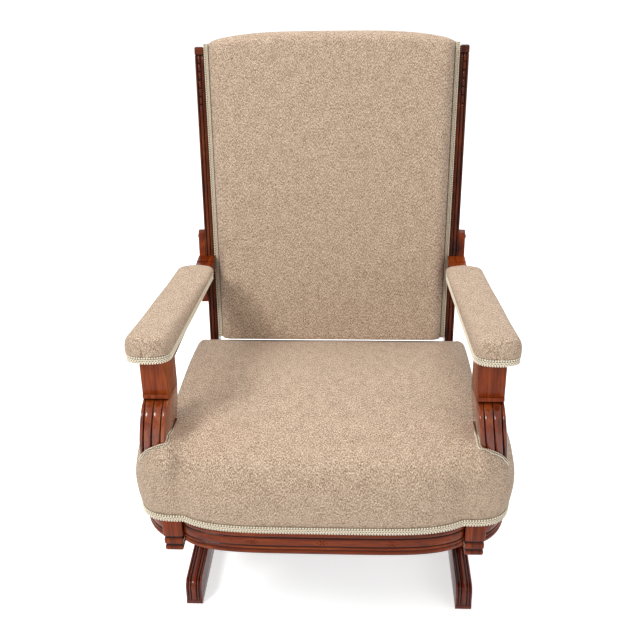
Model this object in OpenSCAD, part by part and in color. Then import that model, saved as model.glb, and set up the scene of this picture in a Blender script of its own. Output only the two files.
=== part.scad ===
/* [Overall] */
// Depth from the front of the seat's gimp to the rear of the feet
overall_depth = 712; // [700:1:730]
// Width over the gimp of the seat's two ears
overall_width = 616; // [608:1:624]
// Fit between pieces that meet
fit_gap = 0.2; // [0.1:0.05:0.3]

/* [Seat frame] */
// Height of the underside of the seat rails
rail_z = 292; // [288:1:300]
// Height of the seat rails
rail_h = 43; // [40:1:46]
// Thickness of the side and rear rails
rail_t = 26; // [24:0.5:28]
// Thickness of the bowed front rail
bow_t = 24; // [20:0.5:28]
// How far the front rail bows out from its ends
bow_depth = 32; // [25:0.5:38]
// Depth of the grooves cut between the reeds
groove_depth = 2.5; // [1.5:0.1:3.5]
// How far each end of the bowed front rail stands in from the side of an ear
bow_side_in = 78; // [77.5:0.5:82]
// How far the rear rail stands behind the front of the stiles' feet
rear_rail_in = 1; // [0:0.5:2]
// Radius of an ear rail across the chair
ear_rail_rx = 75; // [70:1:76]
// Radius of an ear rail along the chair
ear_rail_ry = 95; // [88:1:97]

/* [Corner blocks] */
// Width of a corner block
block_w = 33; // [28:0.5:33.5]
// Depth of a corner block
block_d = 35; // [30:0.5:40]
// How far a corner block hangs below the rails
block_drop = 19; // [14:0.5:26]
// How far a corner block stands in front of the rail ends
block_proud = 6; // [3:0.5:9]

/* [Back] */
// Recline of the back
recline = 16.5; // [15:0.5:17]
// Height at which the front of a stile meets the seat
seat_back_z = 432; // [428:1:436]
// Place of a stile's front at that height, behind the middle of the chair
back_foot_y = 140; // [138:1:144]
// Length of a stile above the seat
stile_rise = 568; // [550:1:580]
// Width of a stile
stile_w = 17; // [15:0.5:19]
// Depth of a stile
stile_d = 36; // [34:0.5:40]
// How far the outer face of a stile at the seat stands in from the side of an ear
stile_side_in = 63; // [62.5:0.1:63.5]
// Outward lean of each stile
splay = 1.82; // [1.6:0.02:1.9]
// Height of the cap on a stile
cap_h = 16; // [12:0.5:20]
// Thickness of the back frame's rails
back_rail_t = 18; // [14:0.5:18.5]
// Height of the back frame's rails
back_rail_h = 50; // [40:1:60]
// Thickness of the outside back panel
panel_t = 3; // [2:0.5:4]

/* [Arms] */
// Height of the arm's top under the front of its pad
arm_z = 614.5; // [608:0.5:620]
// Downward slope of the arm towards the back
arm_slope = 3.15; // [2.8:0.05:3.5]
// Width of an arm support
post_w = 41; // [38:0.5:41.5]
// How far the inner face of an arm support stands in from the side of an ear
post_side_in = 66; // [65:0.25:67]
// How far an arm support's plain top stands behind the front of the seat
post_front_in = 73; // [70:1:76]
// Depth of an arm support's plain top
post_d = 56; // [50:0.5:60]
// How far the reeded part of a support bulges forward
post_bulge = 35; // [24:0.5:38]
// How far the moulding on a support lies under the arm
mould_drop = 74.5; // [68:0.5:80]
// Thickness of an arm rail
arm_rail_t = 22; // [18:0.5:26]
// Thickness of an arm bracket
arm_bracket_t = 12; // [9:0.5:14]
// Length of an arm pad
pad_len = 383; // [360:1:400]
// Height of an arm pad at its front
pad_h = 44; // [40:0.5:50]
// Height of an arm pad at its rear
pad_rear_h = 22; // [20:0.5:26]
// Half of an arm pad's width at its front
pad_half_w = 36; // [33:0.5:38]

/* [Upholstery] */
// Height of the seat cushion's front shoulder
seat_front_z = 462; // [455:1:470]
// Height of the seat cushion's crown above its shoulder
seat_crown = 16; // [10:1:20]
// How far the back cushion stands in front of the stiles
back_proud = 30; // [24:0.5:36]
// Rise of the back cushion above the stiles at the middle
back_arch = 26; // [20:0.5:32]
// Height of the gimp
gimp_h = 14; // [10:0.5:16]
// Thickness of the gimp
gimp_t = 2.6; // [2:0.1:3]
// Width of the webbing straps
strap_w = 50; // [40:1:56]

/* [Base] */
// Width of a sled foot
foot_w = 31; // [28:0.5:34]
// Height of a sled foot
foot_h = 55; // [48:0.5:60]
// How far the middle of a sled foot stands in from the side of an ear
foot_side_in = 48; // [45:0.5:51]
// Front of the toes, in front of the middle of the chair
toe_y = 160; // [150:1:170]
// Radius of a rounded toe
toe_r = 20; // [14:0.5:26]
// Height of the track rail's top
track_z = 200; // [196:1:204]
// Height of a track rail
track_h = 35; // [30:0.5:40]
// Width of a track rail
track_w = 30; // [26:0.5:32]
// Length of a track rail
track_len = 340; // [320:2:360]
// Thickness of an upright
upright_t = 24; // [20:0.5:26]
// Radius of a stretcher
stretcher_r = 13; // [10:0.5:15]

/* [Rocking gear] */
// Radius of the rockers
rocker_r = 440; // [420:5:480]
// Thickness of a rocker
rocker_t = 24; // [22:0.5:25]
// Place of the rolling contact, behind the middle of the chair
contact_y = 10; // [5:1:15]
// Thickness of the wear strip on a track rail
strip_t = 5; // [4.6:0.1:6]
// Mean radius of a coil spring
spring_r = 20; // [16:0.5:22]
// Radius of a coil spring's wire
wire_r = 2.5; // [2:0.1:2.8]
// Turns of a coil spring
spring_turns = 6; // [5:1:7]
// Distance of each coil spring from the rolling contact
spring_y = 45; // [40:0.5:50]
// Thickness of the spring brackets
bracket_t = 5; // [4:0.5:6]

/* [Hidden] */
$fn = 48;

// Overrun of every cut past the face it opens
over = 1;
// Gap under and beside soft solids
soft_gap = 0.3;
// Colours of wood, cloth, gimp, iron, steel, leather, cambric and jute
wood_c = "#6e2a17";
cloth_c = "#b99b7c";
gimp_c = "#e4dcbc";
iron_c = "#3a3a3c";
steel_c = "#8d8f92";
leather_c = "#5a3a22";
cambric_c = "#2a2826";
jute_c = "#b08d57";

// Levels and places of the seat frame; each side rail passes outside a stile's foot
rail_top = rail_z + rail_h;
half_w = overall_width / 2;
bow_half = half_w - bow_side_in;
stile_foot_x = half_w - stile_side_in;
post_x = half_w - post_side_in;
foot_x = half_w - foot_side_in;
stile_mid_x = stile_foot_x - stile_w / 2 / cos(splay);
stile_rail_s = (rail_top - seat_back_z) / cos(recline) + stile_d * tan(recline);
side_rail_x = stile_mid_x + stile_rail_s * tan(splay) + stile_w / 2 / cos(splay) + fit_gap;
cloth_out = 1.1;
cloth_front = -overall_depth / 2 + gimp_t + soft_gap;
bow_y = cloth_front + cloth_out;
rail_end_y = bow_y + bow_depth;
side_out_x = side_rail_x + rail_t;
block_x = bow_half + 1;
block_y = rail_end_y - block_proud;
block_rear = block_y + block_d;

// Centre of the ears, and where they run back into the side rails
ear_reach = 91;
ear_cx = bow_half;
ear_cy = rail_end_y + ear_reach;
ear_back = 44;

// Place of the front rail's face at x, a flattened bow
bow_power = 5;
bow_end_power = 0.77;
function bow_at(x) = rail_end_y
    - bow_depth * pow(1 - pow(min(1, abs(x) / bow_half), bow_power), bow_end_power);

// Right-hand ear from x0 at its front round to the side rail: round with square = 1, squarer below it
ear_steps = 7;
function ear_line(rx, ry, side_x, back, square, x0) = concat(
    [for (i = [0:ear_steps]) let (a0 = asin((x0 - ear_cx) / rx), a = a0 + (90 - a0) * i / ear_steps)
        [ear_cx + rx * pow(sin(a), square), ear_cy - ry * pow(cos(a), square)]],
    [for (i = [1:4]) let (a = 90 * i / 4)
        [side_x + (ear_cx + rx - side_x) * cos(a), ear_cy + back * sin(a)]]
);

// Bands of the reeded rails from the bottom: start, end, share of the groove's depth
band_shares = [
    [0, 0.15, 0], [0.15, 0.22, 1], [0.22, 0.30, 0.2], [0.30, 0.36, 1],
    [0.36, 0.71, 0.3], [0.71, 0.77, 1], [0.77, 1, 0]
];

// Back frame: faces of a stile at a length s along it, and world places of the back's front plane
function stile_in(s) = stile_mid_x + s * tan(splay) - stile_w / 2 / cos(splay);
function back_plane_y(z) = back_foot_y + (z - seat_back_z) * tan(recline);
function to_back(y, z) = [
    (y - back_foot_y) * cos(recline) - (z - seat_back_z) * sin(recline),
    (y - back_foot_y) * sin(recline) + (z - seat_back_z) * cos(recline)
];
back_rail_y = stile_d - panel_t - back_rail_t;
top_rail_s = stile_rise - back_rail_h - cap_h;
back_cushion_s = 8;

// Arms
pad_overhang = 20;
post_front = overall_depth / 2 - post_front_in;
mould_z = arm_z - mould_drop;
pad_front_y = -post_front - pad_overhang;
post_rear_y = -post_front + post_d;
function arm_top(y) = arm_z - (y - pad_front_y) * tan(arm_slope);
// Where a plane under the arm's top meets the back's front plane
function back_meet(under) = (back_foot_y
    + (arm_z + pad_front_y * tan(arm_slope) - under - seat_back_z) * tan(recline))
    / (1 + tan(arm_slope) * tan(recline));
// Length up a stile at which the arm's top meets it
arm_s = to_back(back_meet(0), arm_top(back_meet(0)))[1];

// Rocking gear
contact_z = track_z + strip_t;
contact_gap = 0.03;
rocker_inset = 2;
track_inset = 2;
track_ahead = 10;
rocker_x = side_rail_x + rocker_inset;
track_x = foot_x - track_inset;
track_in = track_x - track_w / 2;
track_front = contact_y - track_len / 2 - track_ahead;
track_bottom = track_z - track_h;
foot_rear = overall_depth / 2;
plate_gap = 1;
shelf_margin = 1;
shelf_rise = 40;
shelf_w = 2 * (spring_r + wire_r + shelf_margin);
shelf_len = 2 * spring_y + shelf_w;
coil_x = track_in - bracket_t - shelf_w / 2 - plate_gap;
shelf_low = track_bottom + bracket_t;
shelf_high = track_z + shelf_rise;
bracket_h = 48;
bracket_drop = 15;
screw_r = 2;
screw_head_r = 4;
screw_head_h = 2.4;
screw_len = 18;
screw_bore_len = 20;
screw_end_in = 10;
screw_row = shelf_len / 2 - screw_end_in;
bore_gap = 0.1;

module on_left() { mirror([1, 0, 0]) children(); }

// Slab of a side profile drawn as [y, z], from x along +X
module slab(x, w) {
    translate([x, 0, 0]) rotate([90, 0, 90]) linear_extrude(w) children();
}

// Slab of a front profile drawn as [x, z], from y along +Y
module front_slab(y, w) {
    translate([0, y + w, 0]) rotate([90, 0, 0]) linear_extrude(w) children();
}

// Places things in the leaning back: y is depth behind its front plane, z runs up a stile
module back_frame() {
    translate([0, back_foot_y, seat_back_z]) rotate([-recline, 0, 0]) children();
}

// Places things on the right stile's own axis
module stile_axis() {
    back_frame() translate([stile_mid_x, 0, 0]) rotate([0, splay, 0]) children();
}

// Places things on the sloping arm: y runs back from the pad's front, z is up from the arm's top
module arm_frame() {
    translate([0, pad_front_y, arm_z]) rotate([-arm_slope, 0, 0]) children();
}

// Plan of the right arm's middle line, y back from the pad's front
arm_lean = 18.5;
arm_mid_out = 5.5;
arm_mid_x = post_x + post_w / 2 + arm_mid_out;
function arm_mid(t) = arm_mid_x - arm_lean * t / pad_len;

// Closed loft through rings of equal length, wound anticlockwise seen from the last ring
module loft(rings, start, end) {
    n = len(rings[0]);
    m = len(rings);
    pts = concat([for (r = rings) for (p = r) p], [start, end]);
    sides = [for (k = [0:m - 2]) for (i = [0:n - 1])
        let (a = k * n + i, b = (k + 1) * n + i, c = (k + 1) * n + (i + 1) % n, d = k * n + (i + 1) % n)
        each [[a, b, c], [a, c, d]]];
    first = [for (i = [0:n - 1]) [m * n, i, (i + 1) % n]];
    last = [for (i = [0:n - 1]) [m * n + 1, (m - 1) * n + (i + 1) % n, (m - 1) * n + i]];
    polyhedron(points = pts, faces = concat(first, sides, last), convexity = 6);
}

// Sled feet: side outline drawn in by d, and reeds along the top edges
toe_steps = 6;
foot_groove_w = 2;
foot_groove_in = 4;
foot_groove_step = 5;
foot_groove_depth = 1.8;
foot_groove_z = 12;
function toe_arc(y, from) = [for (i = [0:toe_steps]) let (a = from - 90 * i / toe_steps)
    [y + toe_r * cos(a), foot_h - toe_r + toe_r * sin(a)]];
function foot_outline() = concat(
    [[foot_rear, 0], [-toe_y, 0]], toe_arc(-toe_y + toe_r, 180), toe_arc(foot_rear - toe_r, 90)
);
stretcher_share = 0.56;
stretcher_z = foot_h * stretcher_share;
stretcher_front_y = 18;
stretcher_rear_y = 262;
tenon_r = 7;
tenon_len = 16;

module foot() {
    x0 = foot_x - foot_w / 2;
    last = foot_w - foot_groove_in - foot_groove_w;
    color(wood_c) difference() {
        slab(x0, foot_w) polygon(foot_outline());
        for (x = [foot_groove_in, foot_groove_in + foot_groove_step, last - foot_groove_step, last])
            slab(x0 + x, foot_groove_w) difference() {
                translate([-toe_y - over, foot_groove_z])
                    square([toe_y + foot_rear + 2 * over, foot_h + over - foot_groove_z]);
                offset(delta = -foot_groove_depth) polygon(foot_outline());
            }
        for (y = [stretcher_front_y, stretcher_rear_y])
            translate([x0 - over, y, stretcher_z]) rotate([0, 90, 0])
                cylinder(r = tenon_r + bore_gap, h = tenon_len + over + bore_gap);
    }
}

// Uprights, sawn with a sweep: the front one leans forward as it rises, the rear one too
upright_steps = 12;
upright_half = 14;
upright_flare = 9;
front_foot_y = -18;
front_top_in = 80;
front_sweep = front_foot_y - (track_front + front_top_in);
front_sweep_power = 1.7;
rear_foot_y = 205;
rear_top_in = 55;
rear_sweep = rear_foot_y - (track_front + track_len - rear_top_in);
rear_sweep_power = 0.6;
upright_flare_power = 3;

module upright(foot_y, sweep, power) {
    h = track_bottom - foot_h;
    function mid(t) = foot_y - sweep * pow(t, power);
    function half(t) = upright_half + upright_flare * pow(abs(2 * t - 1), upright_flare_power);
    color(wood_c) slab(track_x - upright_t / 2, upright_t) polygon(concat(
        [for (i = [0:upright_steps]) let (t = i / upright_steps) [mid(t) - half(t), foot_h + h * t]],
        [for (i = [upright_steps:-1:0]) let (t = i / upright_steps) [mid(t) + half(t), foot_h + h * t]]
    ));
}

module front_upright() { upright(front_foot_y, front_sweep, front_sweep_power); }
module rear_upright() { upright(rear_foot_y, rear_sweep, rear_sweep_power); }

// Row of two screw holes along the chair, drilled towards +X or -X from x
module screw_holes(x, turn, z, length) {
    for (y = [-1, 1])
        translate([x, contact_y + y * screw_row, z]) rotate([0, turn * 90, 0])
            cylinder(r = screw_r + bore_gap, h = length);
}

track_groove_r = 1.5;
track_end_r = 15;
track_groove_shares = [0.3, 0.7];
track_screw_drop = 12;
track_screw_z = track_z - track_screw_drop;

module track_rail() {
    color(wood_c) difference() {
        slab(track_in, track_w) difference() {
            translate([track_front, track_bottom]) square([track_len, track_h]);
            for (e = [0, 1])
                translate([track_front + e * track_len, track_bottom]) circle(track_end_r);
        }
        for (k = track_groove_shares)
            translate([track_in + track_w, track_front - over, track_bottom + track_h * k])
                rotate([-90, 0, 0]) cylinder(r = track_groove_r, h = track_len + 2 * over);
        screw_holes(track_in - over, 1, track_screw_z, screw_bore_len + over);
    }
}

// Leather strip on the track, inset from its edges and ends
strip_side_in = 2;
strip_end_in = 6;

module wear_strip() {
    color(leather_c) translate([track_in + strip_side_in, track_front + strip_end_in, track_z])
        cube([track_w - 2 * strip_side_in, track_len - 2 * strip_end_in, strip_t]);
}

// Half of a turned stretcher, as shares of its radius and length
turning_shares = [
    [0.72, 0], [0.72, 0.04], [1, 0.05], [1, 0.08], [0.78, 0.09], [0.9, 0.12], [0.78, 0.15],
    [0.86, 0.3], [1, 0.455], [0.82, 0.46], [0.82, 0.47], [1.05, 0.48], [1.05, 0.5]
];

module stretcher(y) {
    length = 2 * (foot_x - foot_w / 2) - 2 * fit_gap;
    color(wood_c) translate([-length / 2, y, stretcher_z]) rotate([0, 90, 0]) {
        rotate_extrude() polygon(concat(
            [[0, 0]],
            [for (p = turning_shares) [p[0] * stretcher_r, p[1] * length]],
            [for (i = [len(turning_shares) - 1:-1:0])
                [turning_shares[i][0] * stretcher_r, (1 - turning_shares[i][1]) * length]],
            [[0, length]]
        ));
        translate([0, 0, -tenon_len]) cylinder(r = tenon_r, h = length + 2 * tenon_len);
    }
}

// Cast spring bracket: a plate on the wood, a shelf for two coils, ribs, and a boss in each coil
boss_h = 4;
boss_gap = 1.6;
rib_reach = 30;

module spring_bracket(x, plate_z, shelf_z, up, screw_z) {
    shelf_x = coil_x - shelf_w / 2;
    y0 = contact_y - shelf_len / 2;
    far_z = up > 0 ? plate_z + bracket_h : plate_z;
    near_z = up > 0 ? shelf_z + bracket_t : shelf_z;
    color(iron_c) difference() {
        union() {
            translate([x - bracket_t, y0, plate_z]) cube([bracket_t, shelf_len, bracket_h]);
            translate([shelf_x, y0, shelf_z]) cube([x - shelf_x, shelf_len, bracket_t]);
            for (y = [y0, contact_y - bracket_t / 2, y0 + shelf_len - bracket_t])
                front_slab(y, bracket_t) polygon([
                    [x - bracket_t / 2, near_z - up * over], [x - bracket_t / 2, far_z],
                    [x - bracket_t, far_z], [x - bracket_t - rib_reach, near_z],
                    [x - bracket_t - rib_reach, near_z - up * over]
                ]);
            for (y = [-1, 1])
                translate([coil_x, contact_y + y * spring_y, up > 0 ? shelf_z - boss_h : shelf_z + bracket_t])
                    cylinder(r = spring_r - wire_r - boss_gap, h = boss_h);
        }
        screw_holes(x - bracket_t - over, 1, screw_z, bracket_t + 2 * over);
    }
}

module lower_bracket() {
    spring_bracket(track_in, shelf_low - bracket_drop, shelf_low, -1, track_screw_z);
}

upper_screw_rise = 32;
upper_screw_z = shelf_high + upper_screw_rise;

module upper_bracket() {
    spring_bracket(rocker_x, shelf_high - bracket_t, shelf_high - bracket_t, 1, upper_screw_z);
}

// Coil spring: one unbroken tube with closed end turns, on rings worked out along a helix
coil_rings = 8;
coil_sides = 6;
end_pitch_share = 1.18;
coil_seat_gap = 0.1;
function coil_rise(t, turns, h, pitch) = t < 1 ? pitch * t
    : t > turns - 1 ? h - pitch * (turns - t)
    : pitch + (h - 2 * pitch) * (t - 1) / (turns - 2);
function coil_path(r, turns, h, pitch) = [for (i = [0:turns * coil_rings]) let (t = i / coil_rings)
    [r * cos(360 * t), r * sin(360 * t), coil_rise(t, turns, h, pitch)]];
function coil_gap(path, wire) = min([for (i = [0:len(path) - 1])
    for (j = [i + coil_rings - 2:1:len(path) - 1]) norm(path[i] - path[j])]) - 2 * wire;

module coil(r, wire, turns, h) {
    rise = h - 2 * wire;
    path = coil_path(r, turns, rise, 2 * wire * end_pitch_share);
    rings = [for (i = [0:len(path) - 1]) let (a = 360 * i / coil_rings)
        [for (k = [0:coil_sides - 1]) let (b = 360 * k / coil_sides + 90)
            path[i] + [wire * cos(b) * cos(a), wire * cos(b) * sin(a), wire * sin(b)]]];
    translate([0, 0, wire]) loft(rings, path[0], path[len(path) - 1]);
    echo("least gap of a coil to itself", coil_gap(path, wire));
}

module rocker_springs() {
    z0 = shelf_low + bracket_t + coil_seat_gap;
    color(steel_c) for (y = [-1, 1])
        translate([coil_x, contact_y + y * spring_y, z0])
            coil(spring_r, wire_r, spring_turns, shelf_high - bracket_t - coil_seat_gap - z0);
}

// Round-headed screw along +X, its head's underside at x = 0
module screw() {
    rotate([0, 90, 0]) cylinder(r = screw_r, h = screw_len);
    rotate([0, -90, 0]) cylinder(r1 = screw_head_r, r2 = screw_head_r - screw_head_h / 2, h = screw_head_h);
}

module base_screws() {
    color(steel_c) for (side = [0, 1]) mirror([side, 0, 0]) for (y = [-1, 1])
        translate([track_in - bracket_t, contact_y + y * screw_row, track_screw_z]) screw();
}

// Rockers: a round lower edge that rolls on the track, under each side rail
rocker_front = 186;
rocker_rear = 142;
rocker_cove_r = 14;
rocker_smooth = 360;

module rocker() {
    mid_z = contact_z + contact_gap + rocker_r;
    color(wood_c) difference() {
        slab(rocker_x, rocker_t) difference() {
            intersection() {
                translate([contact_y, mid_z]) circle(rocker_r, $fn = rocker_smooth);
                translate([contact_y - rocker_front, contact_z])
                    square([rocker_front + rocker_rear, rail_z - contact_z]);
            }
            for (y = [contact_y - rocker_front, contact_y + rocker_rear])
                translate([y, mid_z - sqrt(pow(rocker_r, 2) - pow(y - contact_y, 2))])
                    circle(rocker_cove_r);
        }
        screw_holes(rocker_x - over, 1, upper_screw_z, screw_bore_len + over);
    }
}

bow_steps = 20;
rail_tenon_t = 10;
rail_tenon_len = 15;
rail_tenon_in = 9;
rail_tenon_y = rail_end_y + bow_t / 2 - rail_tenon_t / 2;
function bow_line(inset) = [for (i = [-bow_steps:bow_steps]) let (x = bow_half * sin(90 * i / bow_steps))
    [x, bow_at(x) + inset]];

module front_rail() {
    back_line = bow_line(bow_t);
    color(wood_c) {
        for (b = band_shares)
            translate([0, 0, rail_z + b[0] * rail_h]) linear_extrude((b[1] - b[0]) * rail_h)
                polygon(concat(bow_line(b[2] * groove_depth),
                    [for (i = [len(back_line) - 1:-1:0]) back_line[i]]));
        for (side = [0, 1]) mirror([side, 0, 0])
            translate([bow_half - rail_tenon_len / 2, rail_tenon_y, rail_z + rail_tenon_in])
                cube([rail_tenon_len * 1.5, rail_tenon_t, rail_h - 2 * rail_tenon_in]);
    }
}

ear_rail_x = block_x + block_w + fit_gap;
ear_joint_y = block_rear - fit_gap;

module ear_rail() {
    color(wood_c) for (b = band_shares)
        translate([0, 0, rail_z + b[0] * rail_h]) linear_extrude((b[1] - b[0]) * rail_h)
            let (o = -b[2] * groove_depth)
                polygon(concat(
                    ear_line(ear_rail_rx + o, ear_rail_ry + o, side_out_x, ear_back + o, 1, ear_rail_x),
                    [[side_out_x, ear_joint_y], [ear_rail_x, ear_joint_y]]
                ));
}

side_rail_rear = 152;

module side_rail() {
    color(wood_c) translate([side_rail_x, block_rear, rail_z])
        cube([rail_t, side_rail_rear - block_rear, rail_h]);
}

rear_rail_y = back_plane_y(rail_top) + rear_rail_in;
stile_foot_s = (rail_z - seat_back_z) / cos(recline) - stile_d * tan(recline);

module rear_rail() {
    half = stile_in(stile_foot_s) - fit_gap;
    color(wood_c) translate([-half, rear_rail_y, rail_z]) cube([2 * half, rail_t, rail_h]);
}

// Corner block: tiers up its height, as start, end and share of the groove's depth
tier_shares = [
    [0, 0.14, 0.6], [0.14, 0.2, 1.3], [0.2, 0.4, 0.35], [0.4, 0.46, 1.2], [0.46, 1, 0]
];

module corner_block() {
    h = rail_h + block_drop;
    color(wood_c) difference() {
        for (t = tier_shares) let (inset = t[2] * groove_depth)
            translate([block_x + inset, block_y + inset, rail_z - block_drop + t[0] * h])
                cube([block_w - 2 * inset, block_d - inset, (t[1] - t[0]) * h]);
        translate([block_x - over, rail_tenon_y - fit_gap, rail_z + rail_tenon_in - fit_gap])
            cube([rail_tenon_len + over, rail_tenon_t + 2 * fit_gap,
                rail_h - 2 * rail_tenon_in + 2 * fit_gap]);
    }
}

// Corner braces inside the frame, glued to the rails
brace_in = 6;
front_brace_long = 50;
front_brace_short = 34;
rear_brace_long = 58;

module corner_braces() {
    x0 = side_rail_x - fit_gap;
    stile_x = stile_in(stile_foot_s) - fit_gap - over;
    stile_y = back_plane_y(rail_z) - over;
    rear_y = rear_rail_y - fit_gap;
    front_y = block_rear + fit_gap;
    color(wood_c) for (side = [0, 1]) mirror([side, 0, 0])
        translate([0, 0, rail_z + brace_in]) linear_extrude(rail_h - 2 * brace_in) {
            polygon([[x0, front_y], [x0, front_y + front_brace_short], [x0 - front_brace_long, front_y]]);
            polygon([[x0, stile_y], [stile_x, stile_y], [stile_x, rear_y],
                [stile_x - rear_brace_long, rear_y], [x0, stile_y - rear_brace_long]]);
        }
}

// Webbing: straps tacked under the rails front to rear, and woven straps between the side rails
strap_t = 1.5;
strap_turn = 30;
strap_pitch = 76;
cross_pitch = 115;
cross_mid_y = -110;
strap_in = 6;

module seat_webbing() {
    z0 = rail_z - fit_gap - strap_t;
    end_x = side_rail_x - fit_gap;
    color(jute_c) {
        for (k = [-2:2]) let (x = k * strap_pitch, y0 = bow_at(abs(x) + strap_w / 2) + strap_in)
            translate([x - strap_w / 2, y0, z0])
                cube([strap_w, rear_rail_y + rail_t - strap_in - y0, strap_t]);
        for (k = [-1:1]) {
            y = cross_mid_y + k * cross_pitch - strap_w / 2;
            translate([-end_x, y, z0 + strap_t]) cube([2 * end_x, strap_w, strap_t]);
            for (side = [0, 1]) mirror([side, 0, 0])
                translate([end_x - strap_t, y, z0 + strap_t]) cube([strap_t, strap_w, strap_turn]);
        }
    }
}

seat_spring_r = 32;
seat_wire_r = 1.7;
seat_spring_turns = 3;
seat_spring_pitch = 110;

module seat_springs() {
    z0 = rail_z - fit_gap + strap_t + coil_seat_gap;
    color(steel_c) for (k = [-1:1]) for (j = [-1:1])
        translate([k * seat_spring_pitch, cross_mid_y + j * cross_pitch, z0])
            coil(seat_spring_r, seat_wire_r, seat_spring_turns, rail_top - coil_seat_gap - z0);
}

// Thin black cover tacked under the webbing
cover_t = 0.8;
cover_in = 8;

module dust_cover() {
    front_x = block_x - 2 * fit_gap;
    side_x = side_rail_x - fit_gap;
    color(cambric_c) translate([0, 0, rail_z - 2 * fit_gap - strap_t - cover_t]) linear_extrude(cover_t)
        polygon(concat(
            [for (p = bow_line(cover_in)) [min(front_x, max(-front_x, p[0])), p[1]]],
            [[front_x, block_rear + fit_gap], [side_x, block_rear + fit_gap],
             [side_x, rear_rail_y + rail_t - cover_in], [-side_x, rear_rail_y + rail_t - cover_in],
             [-side_x, block_rear + fit_gap], [-front_x, block_rear + fit_gap]]
        ));
}

// Seat cushion: half plan from the middle of its front to the middle of its rear, moved out by o
cloth_rx = half_w - gimp_t - soft_gap - ear_cx;
cloth_ry = ear_cy - block_y + cloth_out;
cloth_side_x = side_out_x + cloth_out;
ear_square = 0.625;
bow_shares = [0, 0.22, 0.44, 0.64, 0.8, 0.9, 0.96];
side_shares = [0.25, 0.5, 0.75];
rear_shares = [0.66, 0.33, 0];
rear_round = 8;
rear_round_shares = [[0, 1], [0.2, 0.3], [0.7, 0]];
seat_rear_gap = 0.5;
function seat_half(o, rear_y) = let (side = cloth_side_x + o, from = ear_cy + ear_back) concat(
    [for (k = bow_shares) [bow_half * k, bow_at(bow_half * k) - cloth_out - o]],
    ear_line(cloth_rx + o, cloth_ry + o, side, ear_back + o, ear_square, ear_cx),
    [for (k = side_shares) [side, from + (rear_y - rear_round - from) * k]],
    [for (k = rear_round_shares) [side - rear_round * k[0], rear_y - rear_round * k[1]]],
    [for (k = rear_shares) [side * k, rear_y]]
);
function whole(half) = concat(half, [for (i = [len(half) - 2:-1:1]) [-half[i][0], half[i][1]]]);

// Rows of the cushion's side: share of its height, then share of its rounding moved out
seat_side_shares = [
    [0.16, 0.06], [0.32, 0.13], [0.52, 0.12], [0.7, -0.05], [0.84, -0.38], [0.94, -0.9], [1, -1.8]
];
seat_round = 20;
// Share of an inward move that the sides and ears keep, and where it takes over across the seat
seat_side_share = 0.4;
side_from = 200;
side_run = 45;
function seat_plan(o) = let (
    far = whole(seat_half(o, back_foot_y)),
    near = whole(seat_half(o * seat_side_share, back_foot_y))
) o >= 0 ? far : [for (i = [0:len(far) - 1])
    let (k = min(1, max(0, (abs(far[i][0]) - side_from) / side_run))) far[i] + (near[i] - far[i]) * k];
// Rows of its top: share of the shoulder's plan, then share of the crown
seat_top_shares = [[0.82, 0.42], [0.6, 0.78], [0.33, 0.96]];
seat_mid_y = -125;
seat_rear_drop = 28;
seat_side_z = rail_top + gimp_h + soft_gap;
function seat_z(z, y) = z - seat_rear_drop * pow(max(0, y - seat_mid_y) / (back_foot_y - seat_mid_y), 2)
    * max(0, z - seat_side_z) / (seat_front_z - seat_side_z);
function seat_row(z, o) = [for (p = seat_plan(o)) let (
    y_rear = back_plane_y(seat_z(z, p[1])) - seat_rear_gap,
    y = p[1] > back_foot_y - rear_round - over ? p[1] - back_foot_y + y_rear + min(0, o) / 3 : p[1]
) [p[0], y, seat_z(z, p[1])]];
function seat_top_row(k, rise) = [for (p = seat_row(seat_front_z, seat_side_shares[6][1] * seat_round))
    [p[0] * k, seat_mid_y + (p[1] - seat_mid_y) * k,
     p[2] * k + (1 - k) * seat_front_z + seat_crown * rise]];

module seat_cushion() {
    z0 = rail_top + soft_gap;
    rows = concat(
        [seat_row(z0, 0), seat_row(seat_side_z, 0)],
        [for (s = seat_side_shares) seat_row(rail_top + s[0] * (seat_front_z - rail_top), s[1] * seat_round)],
        [for (s = seat_top_shares) seat_top_row(s[0], s[1])]
    );
    color(cloth_c) difference() {
        loft(rows, [0, seat_mid_y, z0], [0, seat_mid_y, seat_front_z + seat_crown]);
        for (side = [0, 1]) mirror([side, 0, 0]) post_pocket();
    }
}

gimp_stop = 30;

module seat_gimp() {
    rear_y = back_plane_y(rail_top) - gimp_stop;
    color(gimp_c) translate([0, 0, rail_top]) linear_extrude(gimp_h) difference() {
        polygon(whole(seat_half(soft_gap + gimp_t, back_foot_y)));
        polygon(whole(seat_half(soft_gap, back_foot_y)));
        translate([-half_w, rear_y]) square([2 * half_w, back_foot_y]);
    }
}

// Stiles: two round reeds on the front, a cap, and a row of small notches below it
stile_top_r = 6;
notch_count = 8;
notch_pitch = 10;
notch_r = 1.5;
cap_groove_r = 1.8;
stile_spare = 30;

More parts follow.
